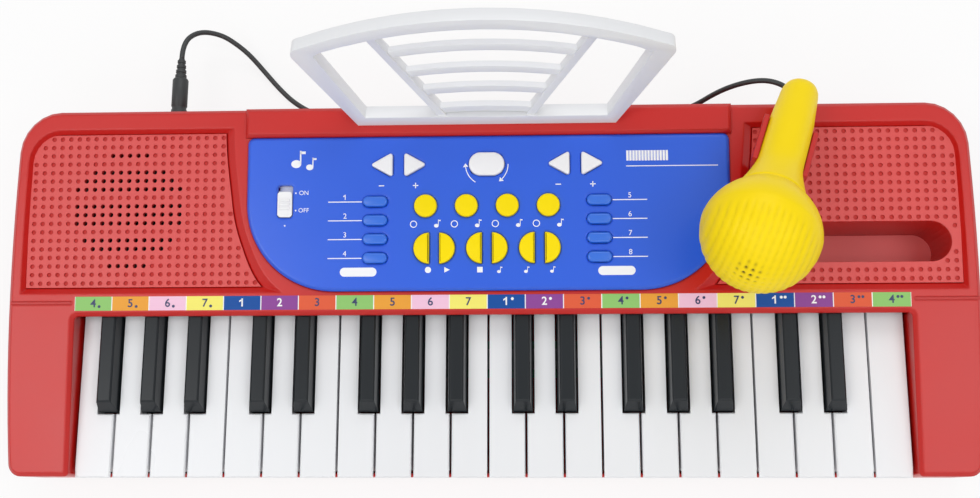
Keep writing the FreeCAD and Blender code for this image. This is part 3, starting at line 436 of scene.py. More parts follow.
class PanelLooks(bpy.types.PropertyGroup):
    """Control panel, its buttons and print."""

    blue: FloatVectorProperty(name="Panel blue", description="Colour of the panel", subtype="COLOR",
                              min=0, max=1, default=(0.012, 0.102, 0.70))
    pill_blue: FloatVectorProperty(name="Pill blue", description="Colour of the pill buttons",
                                   subtype="COLOR", min=0, max=1, default=(0.012, 0.14, 0.70))
    yellow: FloatVectorProperty(name="Button yellow", description="Colour of pads and half-moons",
                                subtype="COLOR", min=0, max=1, default=(0.95, 0.73, 0.0))
    white: FloatVectorProperty(name="Button white", description="Colour of arrows, oval and switch",
                               subtype="COLOR", min=0, max=1, default=(0.86, 0.86, 0.88))
    rim: FloatProperty(name="Button rim", description="Rounding of the buttons' upper rims",
                       unit="LENGTH", default=0.9 * MM)


class KeyLooks(bpy.types.PropertyGroup):
    """Keys and the strip of numbers."""

    ivory: FloatVectorProperty(name="White keys", description="Colour of the white keys", subtype="COLOR",
                               min=0, max=1, default=(0.80, 0.81, 0.83))
    ebony: FloatVectorProperty(name="Black keys", description="Colour of the black keys", subtype="COLOR",
                               min=0, max=1, default=(0.012, 0.015, 0.018))
    nose: FloatProperty(name="Key nose", description="Reach of the white keys' noses over the front wall",
                        unit="LENGTH", default=3.5 * MM)
    digit_size: FloatProperty(name="Digit size", description="Height of the strip's digits",
                              unit="LENGTH", default=6.6 * MM)


class MicrophoneLooks(bpy.types.PropertyGroup):
    """Microphone, lead and plug."""

    yellow: FloatVectorProperty(name="Microphone yellow", description="Colour of the microphone",
                                subtype="COLOR", min=0, max=1, default=(0.97, 0.71, 0.0))
    pit_pitch: FloatProperty(name="Pit pitch", description="Distance between the head's pits",
                             unit="LENGTH", default=3.8 * MM)
    pit_depth: FloatProperty(name="Pit depth", description="Depth of the head's pits",
                             unit="LENGTH", default=0.4 * MM)
    lead_diameter: FloatProperty(name="Lead diameter", description="Diameter of the lead",
                                 unit="LENGTH", default=3.2 * MM)
    lead_sides: IntProperty(name="Lead sides", description="Sides of the lead's mesh", default=16)


class StandLooks(bpy.types.PropertyGroup):
    """Music stand."""

    white: FloatVectorProperty(name="Stand white", description="Colour of the stand", subtype="COLOR",
                               min=0, max=1, default=(0.79, 0.80, 0.82))
    rounding: FloatProperty(name="Rounding", description="Rounding of the bars' edges",
                            unit="LENGTH", default=1.3 * MM)
    corner: FloatProperty(name="Corner", description="Rounding of the top bar's two ends",
                          unit="LENGTH", default=6.0 * MM)


class StageLooks(bpy.types.PropertyGroup):
    """Floor, light and camera."""

    floor: FloatVectorProperty(name="Floor", description="Colour of the floor", subtype="COLOR",
                               min=0, max=1, default=(0.9, 0.9, 0.9))
    lens: FloatProperty(name="Lens", description="Focal length of the camera", default=44.08)


# Materials

def nodes_of(name):
    """New material with its node tree and shader."""
    material = bpy.data.materials.new(name)
    material.use_nodes = True
    tree = material.node_tree
    return material, tree, tree.nodes["Principled BSDF"]


def moulded(name, colour, roughness=0.3, coat=0.25, grain=900.0, bump=0.06, mottle=0.06, edge=0.0, gleam=0.5):
    """Moulded plastic: slow colour drift, uneven gloss and a fine skin; edge rounds corners in the light."""
    material, tree, shader = nodes_of(name)
    add = tree.nodes.new
    link = tree.links.new
    place = add("ShaderNodeTexCoord")
    drift = add("ShaderNodeTexNoise")
    drift.inputs["Scale"].default_value = DRIFT_SCALE
    drift.inputs["Detail"].default_value = DRIFT_DETAIL
    link(place.outputs["Object"], drift.inputs["Vector"])
    mix = add("ShaderNodeMix")
    mix.data_type = "RGBA"
    mix.inputs["A"].default_value = (*[c * (1 - mottle) for c in colour], 1)
    mix.inputs["B"].default_value = (*[min(1, c * (1 + mottle)) for c in colour], 1)
    link(drift.outputs["Fac"], mix.inputs["Factor"])
    link(mix.outputs["Result"], shader.inputs["Base Color"])
    skin = add("ShaderNodeTexNoise")
    skin.inputs["Scale"].default_value = grain
    skin.inputs["Detail"].default_value = SKIN_DETAIL
    link(place.outputs["Object"], skin.inputs["Vector"])
    gloss = add("ShaderNodeMapRange")
    gloss.inputs["To Min"].default_value = roughness * (1 - GLOSS_SPREAD)
    gloss.inputs["To Max"].default_value = roughness * (1 + GLOSS_SPREAD)
    link(drift.outputs["Fac"], gloss.inputs["Value"])
    link(gloss.outputs["Result"], shader.inputs["Roughness"])
    relief = add("ShaderNodeBump")
    relief.inputs["Strength"].default_value = bump
    relief.inputs["Distance"].default_value = SKIN_HEIGHT
    link(skin.outputs["Fac"], relief.inputs["Height"])
    if edge:
        soft = add("ShaderNodeBevel")
        soft.samples = EDGE_SAMPLES
        soft.inputs["Radius"].default_value = edge
        link(soft.outputs["Normal"], relief.inputs["Normal"])
    link(relief.outputs["Normal"], shader.inputs["Normal"])
    shader.inputs["Specular IOR Level"].default_value = gleam
    shader.inputs["Coat Weight"].default_value = coat
    shader.inputs["Coat Roughness"].default_value = COAT_ROUGHNESS
    return material


def pitted(name, colour):
    """Plastic of the microphone's head, with painted shade where its pits lie deep."""
    material = moulded(name, colour, roughness=0.42, coat=0.0, grain=700.0, bump=0.05, mottle=0.04, gleam=0.2)
    tree = material.node_tree
    shader = tree.nodes["Principled BSDF"]
    base = shader.inputs["Base Color"].links[0].from_socket
    # The pits' painted shade, stored on the head's points
    depth = tree.nodes.new("ShaderNodeAttribute")
    depth.attribute_name = "painted_pit_shade"
    shade = tree.nodes.new("ShaderNodeMix")
    shade.data_type = "RGBA"
    shade.inputs["B"].default_value = PIT_SHADE_BROWN
    tree.links.new(depth.outputs["Fac"], shade.inputs["Factor"])
    tree.links.new(base, shade.inputs["A"])
    tree.links.new(shade.outputs["Result"], shader.inputs["Base Color"])
    return material


def steel(name):
    """Bright steel with a fine grain."""
    material = moulded(name, STEEL_GREY, roughness=0.3, coat=0.0, grain=1500.0, bump=0.1, mottle=0.08)
    material.node_tree.nodes["Principled BSDF"].inputs["Metallic"].default_value = 1.0
    return material


def dress(names, material):
    """Give solids a finish."""
    for name in names:
        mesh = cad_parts[name].data
        mesh.materials.clear()
        mesh.materials.append(material)


# Shapes

def clamped(value):
    """Value held between 0 and 1."""
    return max(0.0, min(1.0, value))


def finish_piece(name, bm, materials, body, replaced=(), sharp=PIECE_SHARP, merge=True, place=None):
    """Close a bmesh as a piece that rides on a body and may stand for solids."""
    if place is not None:
        bmesh.ops.transform(bm, matrix=place, verts=bm.verts)
    if merge:
        bmesh.ops.remove_doubles(bm, verts=bm.verts, dist=MERGE_FINE)
        bmesh.ops.recalc_face_normals(bm, faces=bm.faces)
    mesh = bpy.data.meshes.new(name)
    bm.to_mesh(mesh)
    bm.free()
    mesh.shade_smooth()
    mesh.set_sharp_from_angle(angle=math.radians(sharp))
    for material in materials:
        mesh.materials.append(material)
    obj = bpy.data.objects.new(name, mesh)
    bpy.context.scene.collection.objects.link(obj)
    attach(obj, body)
    if replaced:
        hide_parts(*replaced)
    return obj


def new_faces(bm, before):
    """Faces made since the count was taken."""
    bm.faces.ensure_lookup_table()
    return [bm.faces[index] for index in range(before, len(bm.faces))]


def mesh_from(curve):
    """Mesh of a curve or text, which is then removed."""
    obj = bpy.data.objects.new(curve.name, curve)
    bpy.context.scene.collection.objects.link(obj)
    bpy.context.view_layer.update()
    mesh = bpy.data.meshes.new_from_object(obj.evaluated_get(bpy.context.evaluated_depsgraph_get()))
    bpy.data.objects.remove(obj)
    bpy.data.curves.remove(curve)
    return mesh


def add_mesh(bm, mesh, material=0):
    """Add a mesh to a bmesh with one of the piece's materials, and remove the mesh."""
    before = len(bm.faces)
    bm.from_mesh(mesh)
    for face in new_faces(bm, before):
        face.material_index = material
    bpy.data.meshes.remove(mesh)


def add_shape(bm, other, place):
    """Add another bmesh at a place, and free it."""
    mesh = bpy.data.meshes.new("shape")
    other.to_mesh(mesh)
    other.free()
    mesh.transform(place)
    add_mesh(bm, mesh)


def add_box(bm, place, material):
    """Add a unit cube, stretched and set by a matrix."""
    before = len(bm.faces)
    bmesh.ops.create_cube(bm, size=1.0, matrix=place)
    for face in new_faces(bm, before):
        face.material_index = material


def joined(node):
    """Copy of a solid's mesh with its loose triangles joined."""
    bm = bmesh.new()
    bm.from_mesh(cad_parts[node].data)
    bmesh.ops.remove_doubles(bm, verts=bm.verts, dist=MERGE_COPY)
    return bm


def sliced(bm, place, normal, clear=False):
    """Cut all of a shape with a plane, and clear what lies beyond it where asked."""
    everything = bm.verts[:] + bm.edges[:] + bm.faces[:]
    return bmesh.ops.bisect_plane(bm, geom=everything, plane_co=place, plane_no=normal, clear_outer=clear)


def rounded(bm, geometry, offset, segments, affect="EDGES"):
    """Round edges or corners."""
    bmesh.ops.bevel(bm, geom=geometry, offset=offset, offset_type="OFFSET", segments=segments, profile=0.5,
                    affect=affect, material=-1)


def disc(bm, radius, x, y, segments=DISC_SIDES):
    """Flat round face; its points straddle both axes, so that it can be stretched."""
    made = bmesh.ops.create_circle(bm, cap_ends=True, radius=radius, segments=segments)["verts"]
    turn = Matrix.Rotation(math.pi / segments, 3, "Z")
    bmesh.ops.rotate(bm, cent=(0, 0, 0), matrix=turn, verts=made)
    bmesh.ops.translate(bm, vec=(x, y, 0), verts=made)
    return made


def stadium(bm, length, width, x, y):
    """Flat pill-shaped face."""
    made = disc(bm, width / 2, 0, 0)
    half_run = (length - width) / 2
    for vert in made:
        vert.co.x += math.copysign(half_run, vert.co.x)
    bmesh.ops.translate(bm, vec=(x, y, 0), verts=made)
    return made


def cap(bm, verts, low, high, rim):
    """Raise flat faces to caps with rounded upper rims."""
    wanted = set(verts)
    faces = [face for face in bm.faces if all(vert in wanted for vert in face.verts)]
    bmesh.ops.translate(bm, vec=(0, 0, low), verts=verts)
    grown = bmesh.ops.extrude_face_region(bm, geom=faces)["geom"]
    top = [part for part in grown if isinstance(part, bmesh.types.BMVert)]
    bmesh.ops.translate(bm, vec=(0, 0, high - low), verts=top)
    edges = [part for part in grown if isinstance(part, bmesh.types.BMEdge)]
    if rim > 0:
        rounded(bm, edges, rim, RIM_STEPS)


def plate(bm, x_low, y_low, x_high, y_high, low, high, material=0):
    """Thin plate between two corners."""
    middle = Vector(((x_low + x_high) / 2, (y_low + y_high) / 2, (low + high) / 2))
    size = Matrix.Diagonal((x_high - x_low, y_high - y_low, high - low, 1))
    add_box(bm, Matrix.Translation(middle) @ size, material)


def letters(bm, text, size, x, y, low, thickness, material=0, bold=0.0):
    """Digits or signs as thin raised print, centred on a place."""
    curve = bpy.data.curves.new("print", "FONT")
    curve.body = text
    curve.size = size
    curve.align_x = "CENTER"
    curve.align_y = "CENTER"
    curve.extrude = thickness / 2
    curve.offset = bold
    mesh = mesh_from(curve)
    mesh.transform(Matrix.Translation((x, y, low + thickness / 2)))
    add_mesh(bm, mesh, material)
    if text == "1":
        flag(bm, size, x, y, low, thickness, material)


def flag(bm, size, x, y, low, thickness, material):
    """Slanting stroke at the head of a 1, which the font leaves out."""
    place = Matrix(((FLAG_RUN * size, 0, 0, x - FLAG_RUN * size / 2),
                    (FLAG_RISE * size, FLAG_WEIGHT * size, 0, y + FLAG_HEIGHT * size),
                    (0, 0, thickness, low + thickness / 2),
                    (0, 0, 0, 1)))
    add_box(bm, place, material)


def perforated(loops, low, high):
    """Flat sheet with round or other holes: the first loop is its outline, the rest are holes."""
    curve = bpy.data.curves.new("sheet", "CURVE")
    curve.dimensions = "2D"
    curve.fill_mode = "BOTH"
    curve.extrude = (high - low) / 2
    for loop in loops:
        spline = curve.splines.new("POLY")
        spline.points.add(len(loop) - 1)
        for point, (x, y) in zip(spline.points, loop):
            point.co = (x, y, 0, 1)
        spline.use_cyclic_u = True
    mesh = mesh_from(curve)
    mesh.transform(Matrix.Translation((0, 0, (low + high) / 2)))
    bm = bmesh.new()
    bm.from_mesh(mesh)
    bpy.data.meshes.remove(mesh)
    return bm


def on_circle(centre, radius, angle):
    """Point on a circle, with its angle in degrees."""
    turn = math.radians(angle)
    return (centre[0] + radius * math.cos(turn), centre[1] + radius * math.sin(turn))


def arc_points(centre, radius, first, last, steps):
    """Points on an arc, with angles in degrees."""
    return [on_circle(centre, radius, first + (last - first) * step / steps) for step in range(steps + 1)]


def ring(x, y, radius, segments=HOLE_SIDES):
    """Round hole."""
    return arc_points((x, y), radius, 0, 360 * (segments - 1) / segments, segments - 1)


def spun(profile, steps=SPUN_SIDES):
    """Turned shape about Z from (radius, height) points in millimetres."""
    bm = bmesh.new()
    verts = [bm.verts.new((radius * MM, 0, height * MM)) for radius, height in profile]
    edges = [bm.edges.new(pair) for pair in zip(verts, verts[1:])]
    bmesh.ops.spin(bm, geom=verts + edges, cent=(0, 0, 0), axis=(0, 0, 1), angle=2 * math.pi, steps=steps,
                   use_merge=True)
    bmesh.ops.remove_doubles(bm, verts=bm.verts, dist=MERGE_FINE)
    return bm


# Case forms

def inner_shift(y):
    """Shift of the trays' inner sides towards the panel."""
    offset = y - SHIFT_MIDDLE
    reach = SHIFT_REAR_REACH if offset > 0 else SHIFT_FRONT_REACH
    return SHIFT * math.cos(math.pi / 2 * min(1.0, abs(offset) / reach)) ** 2


def recess_shift(place):
    """Shift of a shell's point towards the panel: full on the trays' inner walls, none on its seat."""
    local = DECK.inverted() @ place
    x = -abs(local.x)
    inside = RECESS_LOW.x < local.y < RECESS_HIGH.x and RECESS_LOW.y < local.z < RECESS_HIGH.y
    if not inside or x > SHIFT_INNER:
        return 0.0
    away = Vector((TRAY_BEND_CENTRE.x - x, max(0.0, TRAY_BEND_CENTRE.y - local.y))).length
    if away > SHIFT_LIMIT:
        return 0.0
    return clamped((away - SHIFT_NONE) / (SHIFT_FULL - SHIFT_NONE)) * inner_shift(local.y)


def bowed(node):
    """Joined copy of a case shell with slightly bowed sides and shifted tray walls."""
    bm = joined(node)
    front = min(vert.co.y for vert in bm.verts)
    rear = max(vert.co.y for vert in bm.verts)
    for step in range(1, BOW_STEPS):
        level = front + (rear - front) * step / BOW_STEPS
        sliced(bm, (0, level, 0), (0, 1, 0))
    for vert in bm.verts:
        offset = vert.co.y - DECK_SHIFT - BOW_MIDDLE
        reach = BOW_REAR_REACH if offset > 0 else BOW_FRONT_REACH
        share = clamped((abs(vert.co.x) - BOW_INNER) / (BOW_OUTER - BOW_INNER))
        outward = share * BOW_RISE * (1 - (offset / reach) ** 2) - recess_shift(vert.co)
        vert.co.x += math.copysign(1.0, vert.co.x) * outward
    return bm


def inner_edges():
    """Points along the left tray's inner side, from front to rear."""
    points = []
    for step in range(TRAY_STEPS + 1):
        y = TRAY_FRONT + (TRAY_REAR - TRAY_FRONT) * step / TRAY_STEPS
        below = max(0.0, TRAY_BEND_CENTRE.y - y)
        x = TRAY_BEND_CENTRE.x - math.sqrt(TRAY_BEND ** 2 - below ** 2) + inner_shift(y)
        points.append(Vector((x, y)))
    return points


def tray_outline():
    """Left tray floor, with its curved inner side; its outer side is tucked into the wall."""
    side = TRAY_SIDE - TRAY_TUCK
    corner = (side + TRAY_CORNER, TRAY_REAR - TRAY_CORNER)
    return [(side, TRAY_FRONT)] + inner_edges() + arc_points(corner, TRAY_CORNER, 90, 180, TRAY_CORNER_STEPS)


def on_tray(x, y, margin, inner):
    """True if a dimple at a place lies on the left tray's floor."""
    if x < TRAY_SIDE + margin or not TRAY_FRONT + margin < y < TRAY_REAR - margin:
        return False
    place = Vector((x, y))
    nearest = min(inner, key=lambda point: (point - place).length)
    corner = Vector((TRAY_SIDE + TRAY_CORNER, TRAY_REAR - TRAY_CORNER))
    cut_off = x < corner.x and y > corner.y and (place - corner).length > TRAY_CORNER - margin
    return x < nearest.x and (nearest - place).length > margin and not cut_off


def dimple_places(looks):
    """Places of the left tray's dimples, each with its row and column."""
    places = []
    inner = inner_edges()
    for row in range(DIMPLE_FIRST_ROW, DIMPLE_LAST_ROW + 1):
        for column in range(-DIMPLE_COLUMNS, DIMPLE_COLUMNS + 1):
            x = SPEAKER_SIDE + column * looks.dimple_pitch
            y = SPEAKER_ROW + row * looks.dimple_row_pitch
            if on_tray(x, y, looks.dimple_radius + DIMPLE_MARGIN, inner):
                places.append((row, column, x, y))
    return places


# Operators

class KEYBOARD_OT_case(bpy.types.Operator):
    """Finish the red case and lay the dimpled floors in its trays"""

    bl_idname = "keyboard.case"
    bl_label = "Case and trays"

    def execute(self, context):
        looks = context.scene.keyboard_case
        red = moulded("case_red_plastic", looks.red, roughness=0.32, coat=0.13, grain=500.0, bump=0.04,
                      mottle=0.05, edge=1.5 * MM, gleam=0.38)
        matt = moulded("tray_red_plastic", looks.tray_red, roughness=0.4, coat=0.0, bump=0.15, mottle=0.05)
        # Painted shade at the foot of the dimples
        deep = moulded("dimple_shade_red_plastic", looks.dimple_red, roughness=0.6, coat=0.0, bump=0.1, mottle=0.05,
                       gleam=0.2)
        dress(["tray_panel", "battery_cover"], red)
        for name, node in (("case_top_shell", "upper_case"), ("case_bottom_shell", "lower_case")):
            finish_piece(name, bowed(node), [red], "case", [node], SHELL_SHARP)
        self.inner_finishes()
        outline = tray_outline()
        places = dimple_places(looks)
        self.left_tray(looks, outline, places, matt, deep)
        self.right_tray(looks, [(-x, y) for x, y in outline], places, matt, deep)
        self.pocket_lining(looks)
        self.grooves(red)
        self.screws()
        return {"FINISHED"}

    def inner_finishes(self):
        """Finish the feet and what lies inside the case."""
        dress(["rubber_feet"], moulded("foot_rubber", FOOT_BLACK, roughness=0.8, coat=0.0,
                                       grain=400.0, bump=0.4, mottle=0.2))
        dress(["speaker"], moulded("speaker_paper", PAPER_BLACK, roughness=0.9, coat=0.0,
                                   grain=600.0, bump=0.5, mottle=0.3))
        dress(["circuit_board"], moulded("board_lacquer", BOARD_GREEN, roughness=0.4, coat=0.3,
                                         grain=300.0, bump=0.1, mottle=0.1))
        dress(["key_contact_strip"], moulded("contact_rubber", CONTACT_GREY, roughness=0.8, coat=0.0,
                                             grain=400.0, bump=0.3, mottle=0.1))
        dress(["jack_socket"], moulded("socket_plastic", SOCKET_BLACK, roughness=0.5, coat=0.0,
                                       grain=400.0, bump=0.2, mottle=0.2))
        dress(["key_rail"], steel("rail_steel"))

    def left_tray(self, looks, outline, places, matt, deep):
        """Dimpled floor over the speaker, with holes right through where the sound comes out; the sheet under
        it is painted darker as shade at the dimples' feet.
        """
        sounds = {(row, column - count // 2) for row, count in SOUND_ROWS.items() for column in range(count)}
        holes = []
        through = []
        for row, column, x, y in places:
            holes.append(ring(x, y, looks.dimple_radius))
            if (row, column) in sounds:
                through.append(ring(x, y, looks.dimple_radius))
        face = perforated([outline] + holes, TRAY_FLOOR, TRAY_FLOOR + looks.sheet)
        back = perforated([outline] + through, TRAY_FLOOR - GRILLE_THICKNESS, TRAY_FLOOR)
        # The back sheet carries the painted shade seen at the foot of the dimples
        finish_piece("speaker_grille_back", back, [deep], "case", ["speaker_grille"], place=DECK)
        finish_piece("speaker_grille_face", face, [matt], "case", place=DECK)

    def right_tray(self, looks, outline, places, matt, deep):
        """Dimpled floor round the hand pocket, and a thin sheet under it whose darker colour is painted shade
        at the dimples' bottoms.
        """
        middle = (POCKET_LOW.y + POCKET_HIGH.y) / 2
        radius = (POCKET_HIGH.y - POCKET_LOW.y) / 2
        left_end = Vector((POCKET_LOW.x + radius, middle))
        right_end = Vector((POCKET_HIGH.x - radius, middle))
        pocket = arc_points(left_end, radius, 90, 270, POCKET_STEPS)
        pocket += arc_points(right_end, radius, -90, 90, POCKET_STEPS)
        clear = radius + looks.dimple_radius * POCKET_MARGIN
        holes = []
        for _, _, x, y in places:
            nearest = Vector((max(left_end.x, min(right_end.x, -x)), middle))
            beside_end = -x > right_end.x and abs(y - middle) < POCKET_END_CLEAR
            if not beside_end and (Vector((-x, y)) - nearest).length > clear:
                holes.append(ring(-x, y, looks.dimple_radius))
        tray = perforated([outline, pocket] + holes, TRAY_FLOOR, TRAY_FLOOR + looks.sheet)
        bottoms = perforated([outline, pocket], TRAY_FLOOR, TRAY_FLOOR + looks.sheet / DIMPLE_BOTTOM_PARTS)
        finish_piece("tray_dimpled_floor", tray, [matt], "case", place=DECK)
        # Sheet under the dimples, in painted shade
        finish_piece("tray_dimple_shade_bottoms", bottoms, [deep], "case", place=DECK)

    def pocket_lining(self, looks):
        """Matt floor of the hand pocket, a finish like the trays', painted paler as a sheen, which is a
        painted reflection.
        """
        floor = [vert.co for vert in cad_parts["tray_panel"].data.vertices
                 if abs(vert.co.z - POCKET_FLOOR) < LINING_GAP]
        across = [place.x for place in floor]
        along = [place.y for place in floor]
        length = max(across) - min(across) - 2 * LINING_GAP
        width = max(along) - min(along) - 2 * LINING_GAP
        bm = bmesh.new()
        made = stadium(bm, length, width, (min(across) + max(across)) / 2, (min(along) + max(along)) / 2)
        cap(bm, made, POCKET_FLOOR, POCKET_FLOOR + LINING_THICK, 0)
        # Matt finish, with its paler colour a painted sheen
        pale = moulded("pocket_floor_sheen_red", looks.pocket_red, roughness=0.5, coat=0.1, bump=0.05, mottle=0.05)
        finish_piece("pocket_lining", bm, [pale], "case")

    def grooves(self, red):
        """Rib in the groove across each cheek, with a dark line of painted shade on both sides."""
        bm = bmesh.new()
        rear = GROOVE_FRONT + GROOVE_WIDTH
        for side in (-1, 1):
            left, right = sorted((side * GROOVE_OUTER, side * GROOVE_INNER))
            for front in (GROOVE_FRONT, rear - GROOVE_LINE):
                plate(bm, left, front, right, front + GROOVE_LINE, -GROOVE_DEPTH, -GROOVE_LINE_DROP, 1)
            plate(bm, left, GROOVE_FRONT + GROOVE_LINE, right, rear - GROOVE_LINE, -GROOVE_DEPTH,
                  -GROOVE_RIB_DROP)
        # Dark plates of painted shade in the groove's gaps
        dark = moulded("groove_shade_red", GROOVE_SHADE_RED, roughness=0.6, coat=0.0, grain=700.0,
                       bump=0.1, mottle=0.1, gleam=0.1)
        finish_piece("cheek_grooves", bm, [red, dark], "case", merge=False, place=DECK)

    def screws(self):
        """Case screws underneath, with crossed slots painted on as dark shade."""
        bm = bmesh.new()
        for x, y in SCREW_PLACES:
            for side in (-1, 1):
                place = Matrix.Translation((side * x, y + DECK_SHIFT, SCREW_LEVEL))
                add_shape(bm, spun(SCREW_PROFILE, SCREW_SIDES), place)
                self.cross(bm, side * x, y + DECK_SHIFT)
        bright = steel("screw_steel")
        # Painted shade for the slots
        dark = moulded("screw_slot_shade", CROSS_SHADE_BLACK, roughness=0.7, coat=0.0)
        finish_piece("case_screws", bm, [bright, dark], "case", merge=False)

    def cross(self, bm, x, y):
        """Crossed slot on a screw's head, as flat dark plates of painted shade."""
        for wide, deep in ((CROSS_LONG, CROSS_SHORT), (CROSS_SHORT, CROSS_LONG)):
            plate(bm, x - wide, y - deep, x + wide, y + deep, CROSS_LOW, CROSS_HIGH, 1)


class KEYBOARD_OT_panel(bpy.types.Operator):
    """Finish the control panel and make its buttons"""

    bl_idname = "keyboard.panel"
    bl_label = "Panel and buttons"

    def execute(self, context):
        looks = context.scene.keyboard_panel
        dress(["control_panel"], moulded("panel_blue_plastic", looks.blue, roughness=0.25, coat=0.25,
                                         grain=500.0, bump=0.03, mottle=0.04, edge=2.2 * MM, gleam=0.4))
        yellow = moulded("button_yellow_plastic", looks.yellow, roughness=0.4, coat=0.0, gleam=0.15)
        blue = moulded("pill_blue_plastic", looks.pill_blue, roughness=0.3, coat=0.3)
        white = moulded("button_white_plastic", looks.white, roughness=0.35, coat=0.2)
        bm = bmesh.new()
        for x in PAD_PLACES:
            cap(bm, disc(bm, PAD_RADIUS, x, PAD_ROW, BUTTON_SIDES), BUTTON_LOW, BUTTON_TOP, looks.rim)
        self.close("round_pad_caps", bm, yellow, "round_pads", "button_yellow")
        bm = bmesh.new()
        for pair in (-1, 0, 1):
            for side in (-1, 1):
                self.half_moon(bm, pair * MOON_PITCH + side * MOON_HALF_GAP, side, looks.rim)
        self.close("half_moon_caps", bm, yellow, "half_moon_buttons", "button_yellow")
        bm = bmesh.new()
        for side in (-1, 1):
            for row in range(PILL_ROWS):
                face = stadium(bm, PILL_LENGTH, PILL_WIDTH, side * PILL_SIDE, PILL_REAR - row * PILL_PITCH)
                cap(bm, face, BUTTON_LOW, BUTTON_TOP, looks.rim * PILL_ROUNDING)
        self.close("pill_caps", bm, blue, "pill_buttons", "button_blue")
        bm = bmesh.new()
        for index, x in enumerate(ARROW_PLACES):
            self.arrow(bm, x, -1 if index % 2 == 0 else 1, looks.rim)
        cap(bm, stadium(bm, OVAL_LENGTH, OVAL_WIDTH, 0, ARROW_ROW), BUTTON_LOW, BUTTON_TOP, looks.rim)
        self.close("arrow_caps", bm, white, "arrow_buttons", "button_white")
        self.switch(looks)
        return {"FINISHED"}

    def switch(self, looks):
        """Finish the power switch, and lay the shield that moves with it under its slot."""
        white = moulded("switch_white_plastic", looks.white, roughness=0.4, coat=0.1, grain=700.0, bump=0.06,
                        mottle=0.04, edge=0.5 * MM)
        dress(["power_switch_knob"], white)
        bm = bmesh.new()
        plate(bm, SHIELD_LOW.x, SHIELD_LOW.y, SHIELD_HIGH.x, SHIELD_HIGH.y, SHIELD_LOW.z, SHIELD_HIGH.z)
        finish_piece("switch_shield", bm, [white], "power_switch_knob", place=DECK)

    def close(self, name, bm, material, body, slot):
        """Set caps on the deck as the piece that stands for one group of buttons."""
        finish_piece(name, bm, [material], body, [body], place=DECK)

    def half_moon(self, bm, flat, side, rim):
        """Half-round cap with its flat side at a place."""
        made = disc(bm, MOON_RADIUS, flat, MOON_ROW, BUTTON_SIDES)
        wanted = set(made)
        face = [face for face in bm.faces if all(vert in wanted for vert in face.verts)]
        geometry = made + face + list({edge for vert in made for edge in vert.link_edges})
        cut = bmesh.ops.bisect_plane(bm, geom=geometry, plane_co=(flat, 0, 0), plane_no=(-side, 0, 0),
                                     clear_outer=True)
        kept = [part for part in cut["geom"] if isinstance(part, bmesh.types.BMVert) and part.is_valid]
        kept += [part for part in cut["geom_cut"]
                 if isinstance(part, bmesh.types.BMVert) and part not in kept]
        cap(bm, kept, BUTTON_LOW, BUTTON_TOP, rim)

    def arrow(self, bm, x, point, rim):
        """Triangular cap with rounded corners, pointing left or right."""
        made = bmesh.ops.create_circle(bm, cap_ends=True, radius=1.0, segments=3)["verts"]
        made.sort(key=lambda vert: vert.co.y)
        tip = (x + point * ARROW_LENGTH / 2, ARROW_ROW, 0)
        back = x - point * ARROW_LENGTH / 2
        corners = [(back, ARROW_ROW - ARROW_WIDTH / 2, 0), (back, ARROW_ROW + ARROW_WIDTH / 2, 0), tip]
        for vert, corner in zip(made, corners):
            vert.co = corner
        before = set(bm.verts) - set(made)
        rounded(bm, made, ARROW_CORNER, ARROW_STEPS, "VERTICES")
        cap(bm, [vert for vert in bm.verts if vert not in before], BUTTON_LOW, BUTTON_TOP, rim)


